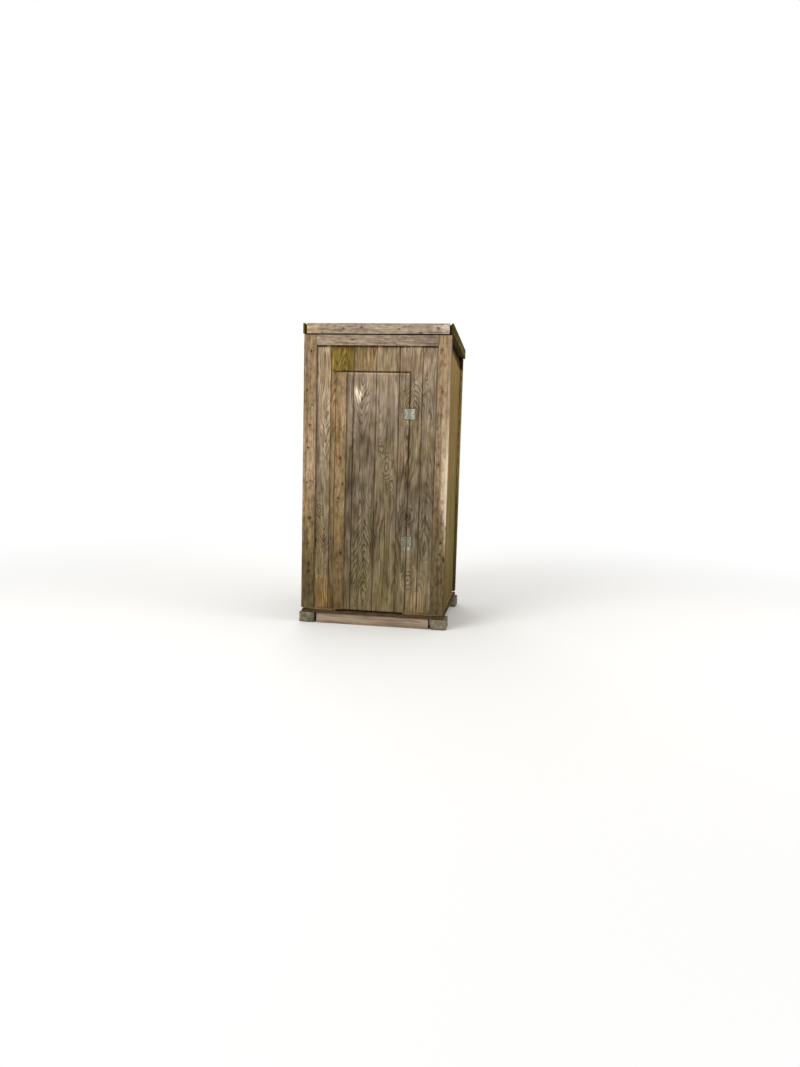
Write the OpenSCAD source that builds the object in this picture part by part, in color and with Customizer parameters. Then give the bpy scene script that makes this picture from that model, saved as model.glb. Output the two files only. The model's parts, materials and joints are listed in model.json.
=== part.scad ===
// Small timber outhouse with a low shed roof that falls to the rear.
// Grooved plywood sheets on a light timber frame, with one hinged door cut
// out of the front sheet. Sizes are in millimetres. X runs to the right seen
// from the front, Y to the rear and Z up. The origin is at ground level, in
// the middle of the plan.

/* [Building] */
// Width of the front sheet and of the framing
sheet_w = 1220; // [900:10:1500]
// Depth from the front sheet's face to the rear sheet's face
body_d = 1220; // [900:10:1500]
// Height of the front sheet
sheet_h = 2438; // [2100:1:2600]
// Height of the sheets' lower edge above the ground
base_h = 140; // [110:1:240]
// Height of the front sheet over the door
head_h = 320; // [240:1:500]

/* [Sheets] */
// Thickness of the plywood sheets
ply_t = 16; // [12:1:22]
// Distance between the grooves
groove_pitch = 203.2; // [100:0.1:305]
// Width of a groove
groove_w = 9.5; // [5:0.5:14]
// Depth of a groove
groove_t = 6; // [3:0.5:8]

/* [Framing] */
// Narrow face of the framing timber
stud_t = 38; // [30:1:50]
// Wide face of the framing timber
stud_w = 89; // [70:1:100]
// Depth of a rafter
rafter_h = 64; // [50:1:90]

/* [Base] */
// Gap between the floor and the sheets' lower edge
floor_gap = 18; // [8:1:30]
// Thickness of the floor
deck_t = 24; // [18:1:32]
// Width of a sleeper
sleeper_w = 95; // [70:1:120]
// Distance of a sleeper's face from the front of the floor
sleeper_inset = 10; // [0:1:60]
// Distance of a sleeper's end from the floor's edge
sleeper_end = 133; // [100:1:200]
// Gap between a sleeper's end and the stone beside it
stone_gap = 15; // [8:1:40]
// Depth of a foundation stone
stone_d = 190; // [120:5:260]
// How far a foundation stone stands out from the corner boards
stone_out = 30; // [0:1:40]

/* [Roof] */
// Fall of the roof for each millimetre of depth
roof_slope = 0.0485; // [0.02:0.0005:0.12]
// Height of the open slot under the rafters at the sides
vent_h = 50; // [30:1:90]
// Length of the rafters behind the rear sheet
rear_overhang = 90; // [40:5:200]
// Distance from a side sheet's face to the outer rafter's face
side_reach = 17; // [6:1:30]
// Thickness of the roof boards
roof_deck_t = 19; // [9:1:22]
// Thickness of the roofing sheet
roofing_t = 3; // [1:0.5:6]

/* [Trim] */
// Thickness of the corner boards and fascias
trim_t = 25; // [18:1:30]
// Width of every trim board
trim_w = 89; // [70:1:120]
// Thickness of the rake boards
rake_t = 19; // [15:1:25]
// Gap between the front fascia and the boards below it
fascia_gap = 10; // [1:1:14]
// Gap between a fascia's end and a rake board
fascia_end_gap = 15; // [1:1:24]

/* [Door] */
// Width of the door
door_w = 653; // [500:1:800]
// Distance of the door's right edge from the middle of the front
door_right = 296; // [150:1:320]
// Gap between the door and the front sheet, at the sides
door_gap = 6; // [5:0.5:10]
// Gap over the door
door_top_gap = 10; // [5:1:15]
// Free space behind the door
door_back_gap = 5.5; // [5:0.5:10]
// How far a door stop reaches behind the door
stop_lap = 20; // [12:1:40]
// Thickness of the boards of the door
door_board_t = 19; // [15:1:25]
// Width of the latch board
latch_board_w = 93; // [70:1:110]
// Free space round the frame on the door's inner side
ledge_gap = 9; // [6:1:20]

/* [Hinges] */
// Height of a hinge
hinge_h = 89; // [60:1:110]
// Width of a hinge leaf, from the pin's axis
hinge_leaf_w = 45; // [30:1:50]
// Thickness of a hinge leaf
hinge_leaf_t = 2.5; // [2:0.25:3]
// Radius of a knuckle
knuckle_r = 5.5; // [5:0.25:7]
// Radius of a hinge pin
pin_r = 3; // [2:0.25:3.5]
// Distance of the upper hinge's middle from the door's top
hinge_upper_drop = 351; // [200:1:600]
// Height of the lower hinge's middle above the sheets' lower edge
hinge_lower_z = 647; // [300:1:900]

/* [Hidden] */

// Small overlap that lets a cut pass right through a face
eps = 1;
// Play between two faces that follow the roof's fall
seat_gap = 0.3;
// Clearance between a hinge pin and its knuckles
pin_clear = 0.05;
// Gap between two knuckles
knuckle_gap = 0.5;
// Knuckles of one hinge
knuckles = 5;
// Radius and thickness of a hinge pin's head
pin_head_r = 4.5;
pin_head_t = 1.5;
// Gap between a knuckle and the face behind it
knuckle_stand_off = 0.5;
// Roundness of the hinge parts
hinge_fn = 48;

// Plan of the building: the box of the whole plan is centred on the origin
rear_end = body_d + rear_overhang + trim_t;
y_shift = (trim_t - rear_end) / 2;
half_w = sheet_w / 2;
side_face = half_w + ply_t;
trim_face = side_face + trim_t;
rafter_face = side_face + side_reach;
frame_front = ply_t;
frame_rear = body_d - ply_t;
inner_side = half_w - stud_w;

// Levels above the sheets' lower edge
floor_top = -floor_gap;
floor_bottom = floor_top - deck_t;
plate_top = floor_top + stud_t;
door_h = sheet_h - head_h;

// Level of the rafters' underside at a depth y
function roof_z(y) = sheet_h - roof_slope * y;

fascia_bottom = sheet_h + fascia_gap;
frieze_bottom = sheet_h - trim_w;
plate_front_z = roof_z(frame_front + stud_w) - stud_t;
plate_rear_z = roof_z(frame_rear) - stud_t;
rafter_end = body_d + rear_overhang;

// Doorway
door_left = door_right - door_w;
opening_left = door_left - door_gap;
opening_right = door_right + door_gap;
opening_top = door_h + door_top_gap;
stop_left = door_left + stop_lap;
stop_right = door_right - stop_lap;
stop_z = door_h - stop_lap;
stop_front = ply_t + door_back_gap;

// Frame on the door's inner side
ledge_left = stop_left + ledge_gap;
ledge_right = stop_right - ledge_gap;
ledge_bottom = ledge_gap;
ledge_top = stop_z - ledge_gap;

// Hinge axis
axis_x = door_right + door_gap / 2;
axis_y = -knuckle_r - knuckle_stand_off;
hinge_upper_z = door_h - hinge_upper_drop;

// Puts a piece drawn from the sheets' lower edge and the front face into place
module place() {
    translate([0, y_shift, base_h]) children();
}

// Box between two corners
module block(low, high) {
    translate(low) cube(high - low);
}

// Bar along X between x0 and x1, with its section in the YZ plane
module bar_along_x(x0, x1, section) {
    translate([x0, 0, 0])
        rotate([90, 0, 90])
            linear_extrude(x1 - x0) polygon(section);
}

// Section between two depths, with a level lower edge and an upper edge
// that lies drop under the rafters
function level_section(y0, y1, bottom, drop) = [
    [y0, bottom],
    [y1, bottom],
    [y1, roof_z(y1) - drop],
    [y0, roof_z(y0) - drop]
];

// Section between two depths that follows the roof, from low to high over
// the rafters' underside
function sloped_section(y0, y1, low, high) = [
    [y0, roof_z(y0) + low],
    [y1, roof_z(y1) + low],
    [y1, roof_z(y1) + high],
    [y0, roof_z(y0) + high]
];

// Copies at the left and at the right
module both_sides() {
    children();
    mirror([1, 0, 0]) children();
}

// Vertical grooves in a front or rear sheet: face is the depth of the sheet's
// face and inward is the direction into the sheet
module grooves_across(face, inward) {
    count = floor(half_w / groove_pitch);
    cut = groove_t + eps;
    for (i = [-count:count])
        translate([i * groove_pitch, face + inward * (groove_t - cut / 2), sheet_h / 2])
            cube([groove_w, cut, sheet_h + 2 * eps], center = true);
}

// Vertical grooves in a side sheet whose face is at +X
module grooves_side() {
    count = floor(body_d / 2 / groove_pitch);
    cut = groove_t + eps;
    for (i = [-count:count])
        translate([side_face - groove_t + cut / 2, body_d / 2 + i * groove_pitch, sheet_h / 2])
            cube([cut, groove_w, sheet_h + 2 * eps], center = true);
}

// Piece of the front sheet between two widths and two levels
module front_sheet(x0, x1, z0, z1) {
    difference() {
        block([x0, 0, z0], [x1, ply_t, z1]);
        grooves_across(0, 1);
    }
}

// Right side sheet
module side_sheet() {
    difference() {
        bar_along_x(half_w, side_face, level_section(0, body_d, 0, vent_h));
        grooves_side();
    }
}

// Right front corner, the two boards that cover it
module corner_board_front() {
    block([side_face - trim_w, -trim_t, 0], [side_face, 0, sheet_h]);
}
module side_board_front() {
    bar_along_x(side_face, trim_face, level_section(-trim_t, trim_w - trim_t, 0, seat_gap));
}

// Right rear corner, the two boards that cover it
module corner_board_rear() {
    rear_face = body_d + trim_t;
    bar_along_x(side_face - trim_w, side_face, level_section(body_d, rear_face, 0, seat_gap));
}
module side_board_rear() {
    rear_face = body_d + trim_t;
    bar_along_x(side_face, trim_face, level_section(rear_face - trim_w, rear_face, 0, seat_gap));
}

// Right rake board
module rake_board() {
    lift = fascia_gap - roof_slope * trim_t;
    bar_along_x(rafter_face, rafter_face + rake_t,
        sloped_section(-trim_t, rear_end, lift, lift + trim_w));
}

// Knuckles of one hinge leaf: first is 0 for the wall leaf, 1 for the door leaf
module knuckle_row(first) {
    pitch = hinge_h / knuckles;
    for (i = [first:2:knuckles - 1])
        translate([0, 0, -hinge_h / 2 + i * pitch + knuckle_gap / 2])
            cylinder(r = knuckle_r, h = pitch - knuckle_gap, $fn = hinge_fn);
}

// Hinge leaf round the axis: side is 1 for the wall leaf, -1 for the door leaf
module hinge_leaf(side) {
    first = side > 0 ? 0 : 1;
    pitch = hinge_h / knuckles;
    back = knuckle_r + knuckle_stand_off;
    difference() {
        union() {
            knuckle_row(first);
            translate([side > 0 ? 0 : -hinge_leaf_w, back - hinge_leaf_t, -hinge_h / 2])
                cube([hinge_leaf_w, hinge_leaf_t, hinge_h]);
        }
        for (i = [1 - first:2:knuckles - 1])
            translate([0, 0, -hinge_h / 2 + i * pitch - knuckle_gap / 2])
                cylinder(r = back + knuckle_gap, h = pitch + knuckle_gap, $fn = hinge_fn);
        translate([0, 0, -hinge_h / 2 - eps])
            cylinder(r = pin_r + pin_clear, h = hinge_h + 2 * eps, $fn = hinge_fn);
    }
}

// Both hinges, placed on their axis
module at_hinges() {
    for (z = [hinge_lower_z, hinge_upper_z])
        translate([axis_x, axis_y, z]) children();
}

module foundation_stones() {
    inner = trim_face - sleeper_end + stone_gap;
    outer = trim_face + stone_out;
    color("gray") place() both_sides()
        for (y0 = [0, body_d - stone_d])
            block([inner, y0, -base_h], [outer, y0 + stone_d, floor_bottom]);
}
module sleepers() {
    reach = trim_face - sleeper_end;
    rear = body_d - sleeper_inset - sleeper_w;
    color("peru") place()
        for (y0 = [sleeper_inset, (body_d - sleeper_w) / 2, rear])
            block([-reach, y0, -base_h], [reach, y0 + sleeper_w, floor_bottom]);
}
module floor_deck() {
    color("burlywood") place()
        block([-trim_face, 0, floor_bottom], [trim_face, body_d, floor_top]);
}

module bottom_plates_front() {
    color("tan") place() {
        block([-half_w, frame_front, floor_top],
            [opening_left, frame_front + stud_w, plate_top]);
        block([opening_right, frame_front, floor_top],
            [half_w, frame_front + stud_w, plate_top]);
    }
}
module bottom_plates_side() {
    color("tan") place() both_sides()
        block([inner_side, frame_front + stud_w, floor_top],
            [half_w, frame_rear - stud_w, plate_top]);
}
module bottom_plate_rear() {
    color("tan") place()
        block([-half_w, frame_rear - stud_w, floor_top],
            [half_w, frame_rear, plate_top]);
}

module corner_posts() {
    color("tan") place() both_sides() {
        block([half_w - stud_t, frame_front, plate_top],
            [half_w, frame_front + stud_w, plate_front_z]);
        block([half_w - stud_t, frame_rear - stud_w, plate_top],
            [half_w, frame_rear, plate_rear_z]);
    }
}
module door_studs() {
    color("tan") place() {
        block([opening_left - stud_t, frame_front, plate_top],
            [opening_left, frame_front + stud_w, plate_front_z]);
        block([opening_right, frame_front, plate_top],
            [opening_right + stud_t, frame_front + stud_w, plate_front_z]);
    }
}
module wall_studs() {
    mid = body_d / 2;
    color("tan") place() {
        both_sides()
            bar_along_x(inner_side, half_w,
                level_section(mid - stud_t / 2, mid + stud_t / 2, plate_top,
                    vent_h + stud_w + seat_gap));
        block([-stud_t / 2, frame_rear - stud_w, plate_top],
            [stud_t / 2, frame_rear, plate_rear_z]);
    }
}
module door_header() {
    color("tan") place()
        block([opening_left, frame_front, opening_top],
            [opening_right, frame_front + stud_t, opening_top + stud_w]);
}
module top_plate_front() {
    color("tan") place()
        bar_along_x(-half_w, half_w,
            level_section(frame_front, frame_front + stud_w, plate_front_z, seat_gap));
}
module top_plate_rear() {
    color("tan") place()
        bar_along_x(-half_w, half_w,
            level_section(frame_rear - stud_w, frame_rear, plate_rear_z, seat_gap));
}
module side_rails() {
    color("tan") place() both_sides()
        bar_along_x(half_w - stud_t, half_w,
            sloped_section(frame_front + stud_w, frame_rear - stud_w,
                -vent_h - stud_w, -vent_h));
}

module rafters() {
    section = sloped_section(0, rafter_end, 0, rafter_h);
    color("tan") place() {
        both_sides() bar_along_x(rafter_face - stud_t, rafter_face, section);
        bar_along_x(-stud_t / 2, stud_t / 2, section);
    }
}
module roof_deck() {
    low = rafter_h + seat_gap;
    color("burlywood") place()
        bar_along_x(-rafter_face, rafter_face,
            sloped_section(0, rear_end, low, low + roof_deck_t));
}
module roofing_sheet() {
    low = rafter_h + roof_deck_t + 2 * seat_gap;
    color("dimgray") place()
        bar_along_x(-rafter_face, rafter_face,
            sloped_section(0, rear_end, low, low + roofing_t));
}

module wall_front_left() {
    color("rosybrown") place() front_sheet(-half_w, opening_left, 0, roof_z(ply_t));
}
module wall_front_right() {
    color("rosybrown") place() front_sheet(opening_right, half_w, 0, roof_z(ply_t));
}
module wall_front_over() {
    color("rosybrown") place()
        front_sheet(opening_left, opening_right, opening_top, roof_z(ply_t));
}
module wall_left() {
    color("rosybrown") place() mirror([1, 0, 0]) side_sheet();
}
module wall_right() {
    color("rosybrown") place() side_sheet();
}
module wall_rear() {
    color("rosybrown") place() difference() {
        bar_along_x(-half_w, half_w, level_section(frame_rear, body_d, 0, seat_gap));
        grooves_across(body_d, -1);
    }
}

module corner_board_front_left() {
    color("tan") place() mirror([1, 0, 0]) corner_board_front();
}
module corner_board_front_right() {
    color("tan") place() corner_board_front();
}
module side_board_front_left() {
    color("tan") place() mirror([1, 0, 0]) side_board_front();
}
module side_board_front_right() {
    color("tan") place() side_board_front();
}
module corner_board_rear_left() {
    color("tan") place() mirror([1, 0, 0]) corner_board_rear();
}
module corner_board_rear_right() {
    color("tan") place() corner_board_rear();
}
module side_board_rear_left() {
    color("tan") place() mirror([1, 0, 0]) side_board_rear();
}
module side_board_rear_right() {
    color("tan") place() side_board_rear();
}
module frieze_board() {
    reach = side_face - trim_w;
    color("tan") place()
        block([-reach, -trim_t, frieze_bottom], [reach, 0, sheet_h]);
}
module fascia_front() {
    reach = rafter_face - fascia_end_gap;
    color("tan") place()
        block([-reach, -trim_t, fascia_bottom], [reach, 0, fascia_bottom + trim_w]);
}
module fascia_rear() {
    reach = rafter_face - fascia_end_gap;
    color("tan") place()
        bar_along_x(-reach, reach,
            level_section(rafter_end, rear_end, roof_z(rear_end) + rafter_h - trim_w, -rafter_h));
}
module rake_board_left() {
    color("tan") place() mirror([1, 0, 0]) rake_board();
}
module rake_board_right() {
    color("tan") place() rake_board();
}

module door_stop_sides() {
    color("tan") place() {
        block([opening_left, stop_front, floor_top],
            [stop_left, stop_front + stud_t, opening_top]);
        block([stop_right, stop_front, floor_top],
            [opening_right, stop_front + stud_t, opening_top]);
    }
}
module door_stop_top() {
    color("tan") place()
        block([stop_left, stop_front, stop_z],
            [stop_right, stop_front + stud_t, opening_top]);
}

module door_panel() {
    color("rosybrown") place() front_sheet(door_left, door_right, 0, door_h);
}
module door_latch_board() {
    color("goldenrod") place()
        block([door_left, -door_board_t, 0], [door_left + latch_board_w, 0, door_h]);
}
module door_stiles() {
    y1 = ply_t + door_board_t;
    color("tan") place() {
        block([ledge_left, ply_t, ledge_bottom], [ledge_left + stud_w, y1, ledge_top]);
        block([ledge_right - stud_w, ply_t, ledge_bottom], [ledge_right, y1, ledge_top]);
    }
}
module door_ledges() {
    middle = (ledge_bottom + ledge_top - stud_w) / 2;
    color("tan") place()
        for (z = [ledge_bottom, middle, ledge_top - stud_w])
            block([ledge_left + stud_w, ply_t, z],
                [ledge_right - stud_w, ply_t + door_board_t, z + stud_w]);
}

module hinge_wall_leaves() {
    color("silver") place() at_hinges() hinge_leaf(1);
}
module hinge_door_leaves() {
    color("silver") place() at_hinges() hinge_leaf(-1);
}
module hinge_pins() {
    color("silver") place() at_hinges() {
        translate([0, 0, -hinge_h / 2 - pin_head_t])
            cylinder(r = pin_r, h = hinge_h + 2 * pin_head_t, $fn = hinge_fn);
        for (z = [-hinge_h / 2 - pin_head_t, hinge_h / 2])
            translate([0, 0, z]) cylinder(r = pin_head_r, h = pin_head_t, $fn = hinge_fn);
    }
}

foundation_stones();
sleepers();
floor_deck();
bottom_plates_front();
bottom_plates_side();
bottom_plate_rear();
corner_posts();
door_studs();
wall_studs();
door_header();
top_plate_front();
top_plate_rear();
side_rails();
rafters();
roof_deck();
roofing_sheet();
wall_front_left();
wall_front_right();
wall_front_over();
wall_left();
wall_right();
wall_rear();
corner_board_front_left();
corner_board_front_right();
side_board_front_left();
side_board_front_right();
corner_board_rear_left();
corner_board_rear_right();
side_board_rear_left();
side_board_rear_right();
frieze_board();
fascia_front();
fascia_rear();
rake_board_left();
rake_board_right();
door_stop_sides();
door_stop_top();
door_panel();
door_latch_board();
door_stiles();
door_ledges();
hinge_wall_leaves();
hinge_door_leaves();
hinge_pins();
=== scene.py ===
"""Looks of an old, timeworn wooden outhouse: finishes, worn timber, fixings, soft studio light and camera.
"""
import json
import math
import random

import bmesh
import bpy
from mathutils import Matrix, Vector, noise

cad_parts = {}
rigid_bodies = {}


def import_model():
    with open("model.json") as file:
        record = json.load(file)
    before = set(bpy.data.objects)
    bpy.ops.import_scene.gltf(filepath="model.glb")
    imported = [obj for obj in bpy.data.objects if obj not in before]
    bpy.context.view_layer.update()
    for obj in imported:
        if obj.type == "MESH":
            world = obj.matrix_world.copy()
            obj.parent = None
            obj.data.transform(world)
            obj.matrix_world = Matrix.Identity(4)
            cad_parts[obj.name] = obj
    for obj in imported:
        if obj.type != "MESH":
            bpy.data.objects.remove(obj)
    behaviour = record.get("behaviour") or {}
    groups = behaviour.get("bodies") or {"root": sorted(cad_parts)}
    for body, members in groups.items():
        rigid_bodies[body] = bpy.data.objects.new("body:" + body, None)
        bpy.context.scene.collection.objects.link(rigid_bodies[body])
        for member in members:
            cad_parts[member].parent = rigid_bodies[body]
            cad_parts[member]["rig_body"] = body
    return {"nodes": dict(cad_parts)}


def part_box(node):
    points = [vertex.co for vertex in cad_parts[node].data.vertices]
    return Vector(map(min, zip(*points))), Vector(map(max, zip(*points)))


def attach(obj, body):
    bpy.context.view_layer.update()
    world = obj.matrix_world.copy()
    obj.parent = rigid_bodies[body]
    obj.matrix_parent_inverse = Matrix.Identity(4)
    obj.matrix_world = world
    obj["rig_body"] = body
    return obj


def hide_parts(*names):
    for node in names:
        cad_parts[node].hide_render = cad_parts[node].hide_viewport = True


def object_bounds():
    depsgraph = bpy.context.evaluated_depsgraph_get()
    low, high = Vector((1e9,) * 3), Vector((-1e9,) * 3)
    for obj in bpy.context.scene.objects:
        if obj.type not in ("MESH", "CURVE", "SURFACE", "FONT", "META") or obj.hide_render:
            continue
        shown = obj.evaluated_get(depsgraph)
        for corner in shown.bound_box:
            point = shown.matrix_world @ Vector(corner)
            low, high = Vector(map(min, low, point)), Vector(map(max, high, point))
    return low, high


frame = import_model()
CAD_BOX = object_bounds()

# Camera, in metres and degrees, as worked out from the photograph's 800 x 1067 pixels
PHOTO_HEIGHT_PX = 1067
FOCAL_LENGTH_PX = 776.8
SENSOR_MM = 36.0
CAMERA_PLACE = Vector((1.3038, -7.4264, 1.6716))
CAMERA_YAW = -8.907
CAMERA_PITCH_DOWN = 6.780
CAMERA_ROLL = 1.540

# Floor and light
FLOOR_RADIUS = 16.0
FLOOR_FADE = (2.2, 7.0)
FLOOR_COLOUR = (232, 231, 228)
SKY_STRENGTH = 0.72
WHITE = (1.0, 1.0, 1.0, 1.0)
LAMP_SIZE = 4.5

# Lamps: name, place, watts
LAMPS = [
    ("key", Vector((-3.6, -6.4, 6.2)), 420),
    ("fill", Vector((6.5, -1.5, 3.8)), 150),
    ("back", Vector((-2.0, 7.0, 5.0)), 220),
]

# Faces and edges of the hut, from the frame
FRONT_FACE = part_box("wall_front_over")[0].y
REAR_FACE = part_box("wall_rear")[1].y
LEFT_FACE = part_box("wall_left")[0].x
RIGHT_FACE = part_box("wall_right")[1].x
HUT_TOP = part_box("fascia_front")[1].z
BOARD_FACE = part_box("corner_board_front_left")[0].y
REAR_BOARD_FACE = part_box("corner_board_rear_left")[1].y
SIDE_BOARD_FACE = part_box("side_board_front_right")[1].x
RAKE_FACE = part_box("rake_board_right")[1].x
REAR_FASCIA_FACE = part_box("fascia_rear")[1].y
FRIEZE_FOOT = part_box("frieze_board")[0].z

# The hinge leaves' face, the middle of the rake boards at their first nails, and the roof's fall in a metre
LEAF_FACE = -0.6575
RAKE_MIDDLE = 2.6296
ROOF_SLOPE = 0.0485

# Ways that surfaces face
TO_FRONT = Vector((0, -1, 0))
TO_REAR = Vector((0, 1, 0))

# Copies of CAD meshes: points closer than this weld, in metres. Then angles between faces, in degrees:
# faces join under the first, edges are rounded over the second and look smooth under the third
WELD_WITHIN = 1e-5
FLAT_UNDER = 0.5
ROUND_OVER = 30
SMOOTH_UNDER = 50

# Wear, in metres: rounds on the edges, depth, distance between cuts, then waves per metre where not 9
SHEET_WEAR = (0.0009, 0.0005, 0.16)
FRAME_WEAR = (0.003, 0.0006, 0.3)
FLOOR_WEAR = (0.001, 0.0008, 0.1)
ROOF_DECK_WEAR = (0.001, 0.0003, 0.2)
SLEEPER_WEAR = (0.006, 0.004, 0.05, 22.0)
STONE_WEAR = (0.012, 0.008, 0.02, 30.0)
STEEL_WEAR = (0.0004, 0.0, 0.05)
FELT_WEAR = (0.0008, 0.0003, 0.1)

# Nail heads: rings from below upward as shares of radius and height, the most that chance moves and
# tilts them, then radius and height of each kind, and how deep two kinds are set, in metres
NAIL_PROFILE = [(1.0, -1.2), (1.0, 0.25), (0.70, 0.80)]
NAIL_SIDES = 10
NAIL_SPREAD = 0.004
NAIL_TILT = 0.06
ROOFING_NAIL = (0.0052, 0.0014)
TRIM_NAIL = (0.0036, 0.0007)
SHEET_NAIL = (0.0038, 0.0007)
TRIM_NAIL_SINK = 0.0008
SHEET_NAIL_SINK = 0.0002

# Where nails sit, in metres: width of pairs, foot of rows, middle lines, and places across each wall
BOARD_NAIL_PAIR = 0.044
LATCH_NAIL_PAIR = 0.046
BOARD_NAIL_FOOT = 0.20
SHEET_NAIL_FOOT = 0.24
CORNER_BOARD_MIDDLE = 0.5815
STILE_MIDDLE = 0.232
RAKE_NAIL_REACH = 0.62
FRONT_STUDS = (-0.386, 0.326)
REAR_STUDS = (0.013, -0.50, 0.50)
SIDE_STUDS = (-0.560, -0.032, 0.470)
HEADER_NAILS = (-0.29, -0.15, -0.06, 0.06, 0.15, 0.27)
FRONT_PLATE_NAILS = (-0.50, -0.43, 0.36, 0.44, 0.51)
SIDE_PLATE_NAILS = (-0.40, -0.30, -0.18, 0.08, 0.20, 0.32)
LEVEL_NAILS = [
    ((-0.50, -0.25, 0.0, 0.25, 0.50), BOARD_FACE, 2.5335, TO_FRONT),
    ((-0.612, 0.0, 0.612), BOARD_FACE, 2.6325, TO_FRONT),
    ((-0.612, 0.0, 0.612), REAR_FASCIA_FACE, 2.5330, TO_REAR),
]

# Screw heads: radius and lift in metres, the flat top and its cross as shares of the radius, and the
# cross's depth as a share of the lift
SCREW_RADIUS = 0.0043
SCREW_LIFT = 0.0011
SCREW_SIDES = 20
SCREW_FLAT = 0.86
CROSS_ARM = 0.16
CROSS_REACH = 0.56
CROSS_DEPTH = 0.9

# Screws of a leaf, away from the hinges' axis and up from a hinge's middle, and where those are
SCREW_PLACES = [(0.020, -0.031), (0.034, 0.0), (0.020, 0.031)]
HINGE_AXIS = 0.299
HINGE_LOW = 0.787
HINGE_HIGH = 1.907

# The upper width of roofing, in metres, and the cells of its mesh
LAP_EDGE = -0.159
LAP_WAVER = 0.004
LAP_NAIL_INSET = 0.022
LAP_NAIL_LIFT = 0.0012
COURSE_THICKNESS = 0.0022
COURSE_SWELL = 0.0011
COURSE_SINK = 0.0006
COURSE_COLUMNS = 90
COURSE_ROWS = 14

# Bare wood as seen, 0 to 255: pale, middle and dark
FRONT_WOOD = ((178, 158, 134), (156, 138, 115), (84, 68, 50))
DECKING_WOOD = ((168, 138, 96), (150, 120, 80), (116, 88, 54))
SLEEPER_WOOD = ((170, 152, 130), (148, 130, 109), (108, 91, 72))

# The painted sunlight on the right edge of the front corner: its colour, its strength at shares of the hut's
# height,
# and where its border lies low and high on the hut
PALE_ARRIS = (222, 204, 180)
PALE_EDGE = [
    (0.24, 0.00),
    (0.30, 0.45),
    (0.36, 0.68),
    (0.56, 0.74),
    (0.62, 0.40),
    (0.68, 0.18),
    (0.96, 0.12),
]
PALE_BORDER = (0.632, 0.600)

# A spot of this half size across the wall reaches through every board. Its core has its full strength
THROUGH = 1000.0
SPOT_CORE = 0.08

# Named eyes and flames in the grain: their core, how far they take over, and the waver of their rings
FIGURE_CORE = 0.45
FIGURE_SHARE = 0.84
FIGURE_WAVES = (30.0, 30.0, 10.0)
FIGURE_WOBBLE = 2.2
FIGURE_DROP = 0.6
FLAME_ROUND = 0.012

# Stains, and painted sunlight where a table says so, as linear factors for red, green and blue
BLEACH_AND_SUNLIGHT = (1.66, 1.72, 1.76)
CREAM = (2.05, 2.12, 2.18)
PALER = (1.25, 1.26, 1.27)
DARKENED = (0.50, 0.46, 0.42)
OLIVE = (0.84, 0.93, 0.66)
GOLDEN = (1.10, 0.86, 0.46)
ZINC_STAIN = (1.66, 1.82, 2.05)
SOOTY = (0.26, 0.22, 0.20)
KNOT_HALO = (0.70, 0.62, 0.54)
KNOT_HEART = (0.30, 0.24, 0.20)
SCAR = (0.34, 0.28, 0.24)

# Dirt, painted shade and plain wood, as seen, 0 to 255
GRIME_AND_SHADE = (48, 36, 22)
GROOVE_DIRT_AND_SHADE = (74, 56, 38)
EARTH = (104, 88, 66)
PLY_EDGE = (78, 63, 46)
INNER_VENEER = (158, 126, 84)

# Depths in a grooved sheet: the grooves from and to, their soft border, and where the inner face sets in
GROOVE_DEPTHS = (0.0016, 0.0085, 0.0012)
VENEER_DEPTHS = (0.010, 0.013)

# Clouds of the front: waves per metre, darker factors, paler factors
FRONT_CLOUDS = [
    ((3.4, 3.4, 1.4), (0.84, 0.83, 0.86), (1.14, 1.10, 1.02)),
    ((10.0, 10.0, 3.2), (0.84, 0.83, 0.76), (1.11, 1.09, 1.12)),
    ((26.0, 26.0, 9.0), (0.76, 0.70, 0.62), (1.14, 1.15, 1.18)),
]

# Runs under the frieze board: left, right, longest, tone as seen, strength
FRONT_DRIPS = [
    (0.235, 0.415, 0.11, (186, 168, 138), 0.55),
    (-0.406, 0.000, 0.16, (70, 56, 22), 0.45),
]

# Eyes of the front's grain: centre across and up, half width, half height, rings
FRONT_EYES = [
    (0.101, 1.440, 0.095, 0.190, 5.0),
    (0.142, 1.262, 0.060, 0.110, 3.0),
    (0.055, 1.590, 0.065, 0.090, 3.0),
    (0.301, 1.015, 0.105, 0.140, 4.5),
    (0.326, 0.442, 0.115, 0.160, 5.0),
    (-0.500, 1.030, 0.085, 0.130, 4.0),
    (-0.447, 0.538, 0.040, 0.070, 2.0),
]

# Flames of the front's grain: the same, then 1 where they point down and -1 where they point up
FRONT_FLAMES = [
    (-0.130, 2.020, 0.110, 0.360, 6.0, 1.0),
    (0.335, 2.030, 0.150, 0.300, 8.0, -1.0),
    (-0.460, 0.800, 0.090, 0.200, 5.0, 1.0),
    (-0.450, 1.700, 0.085, 0.360, 5.0, 1.0),
    (-0.085, 0.600, 0.190, 0.640, 11.0, -1.0),
    (0.460, 0.900, 0.080, 0.380, 4.0, -1.0),
]
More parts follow.
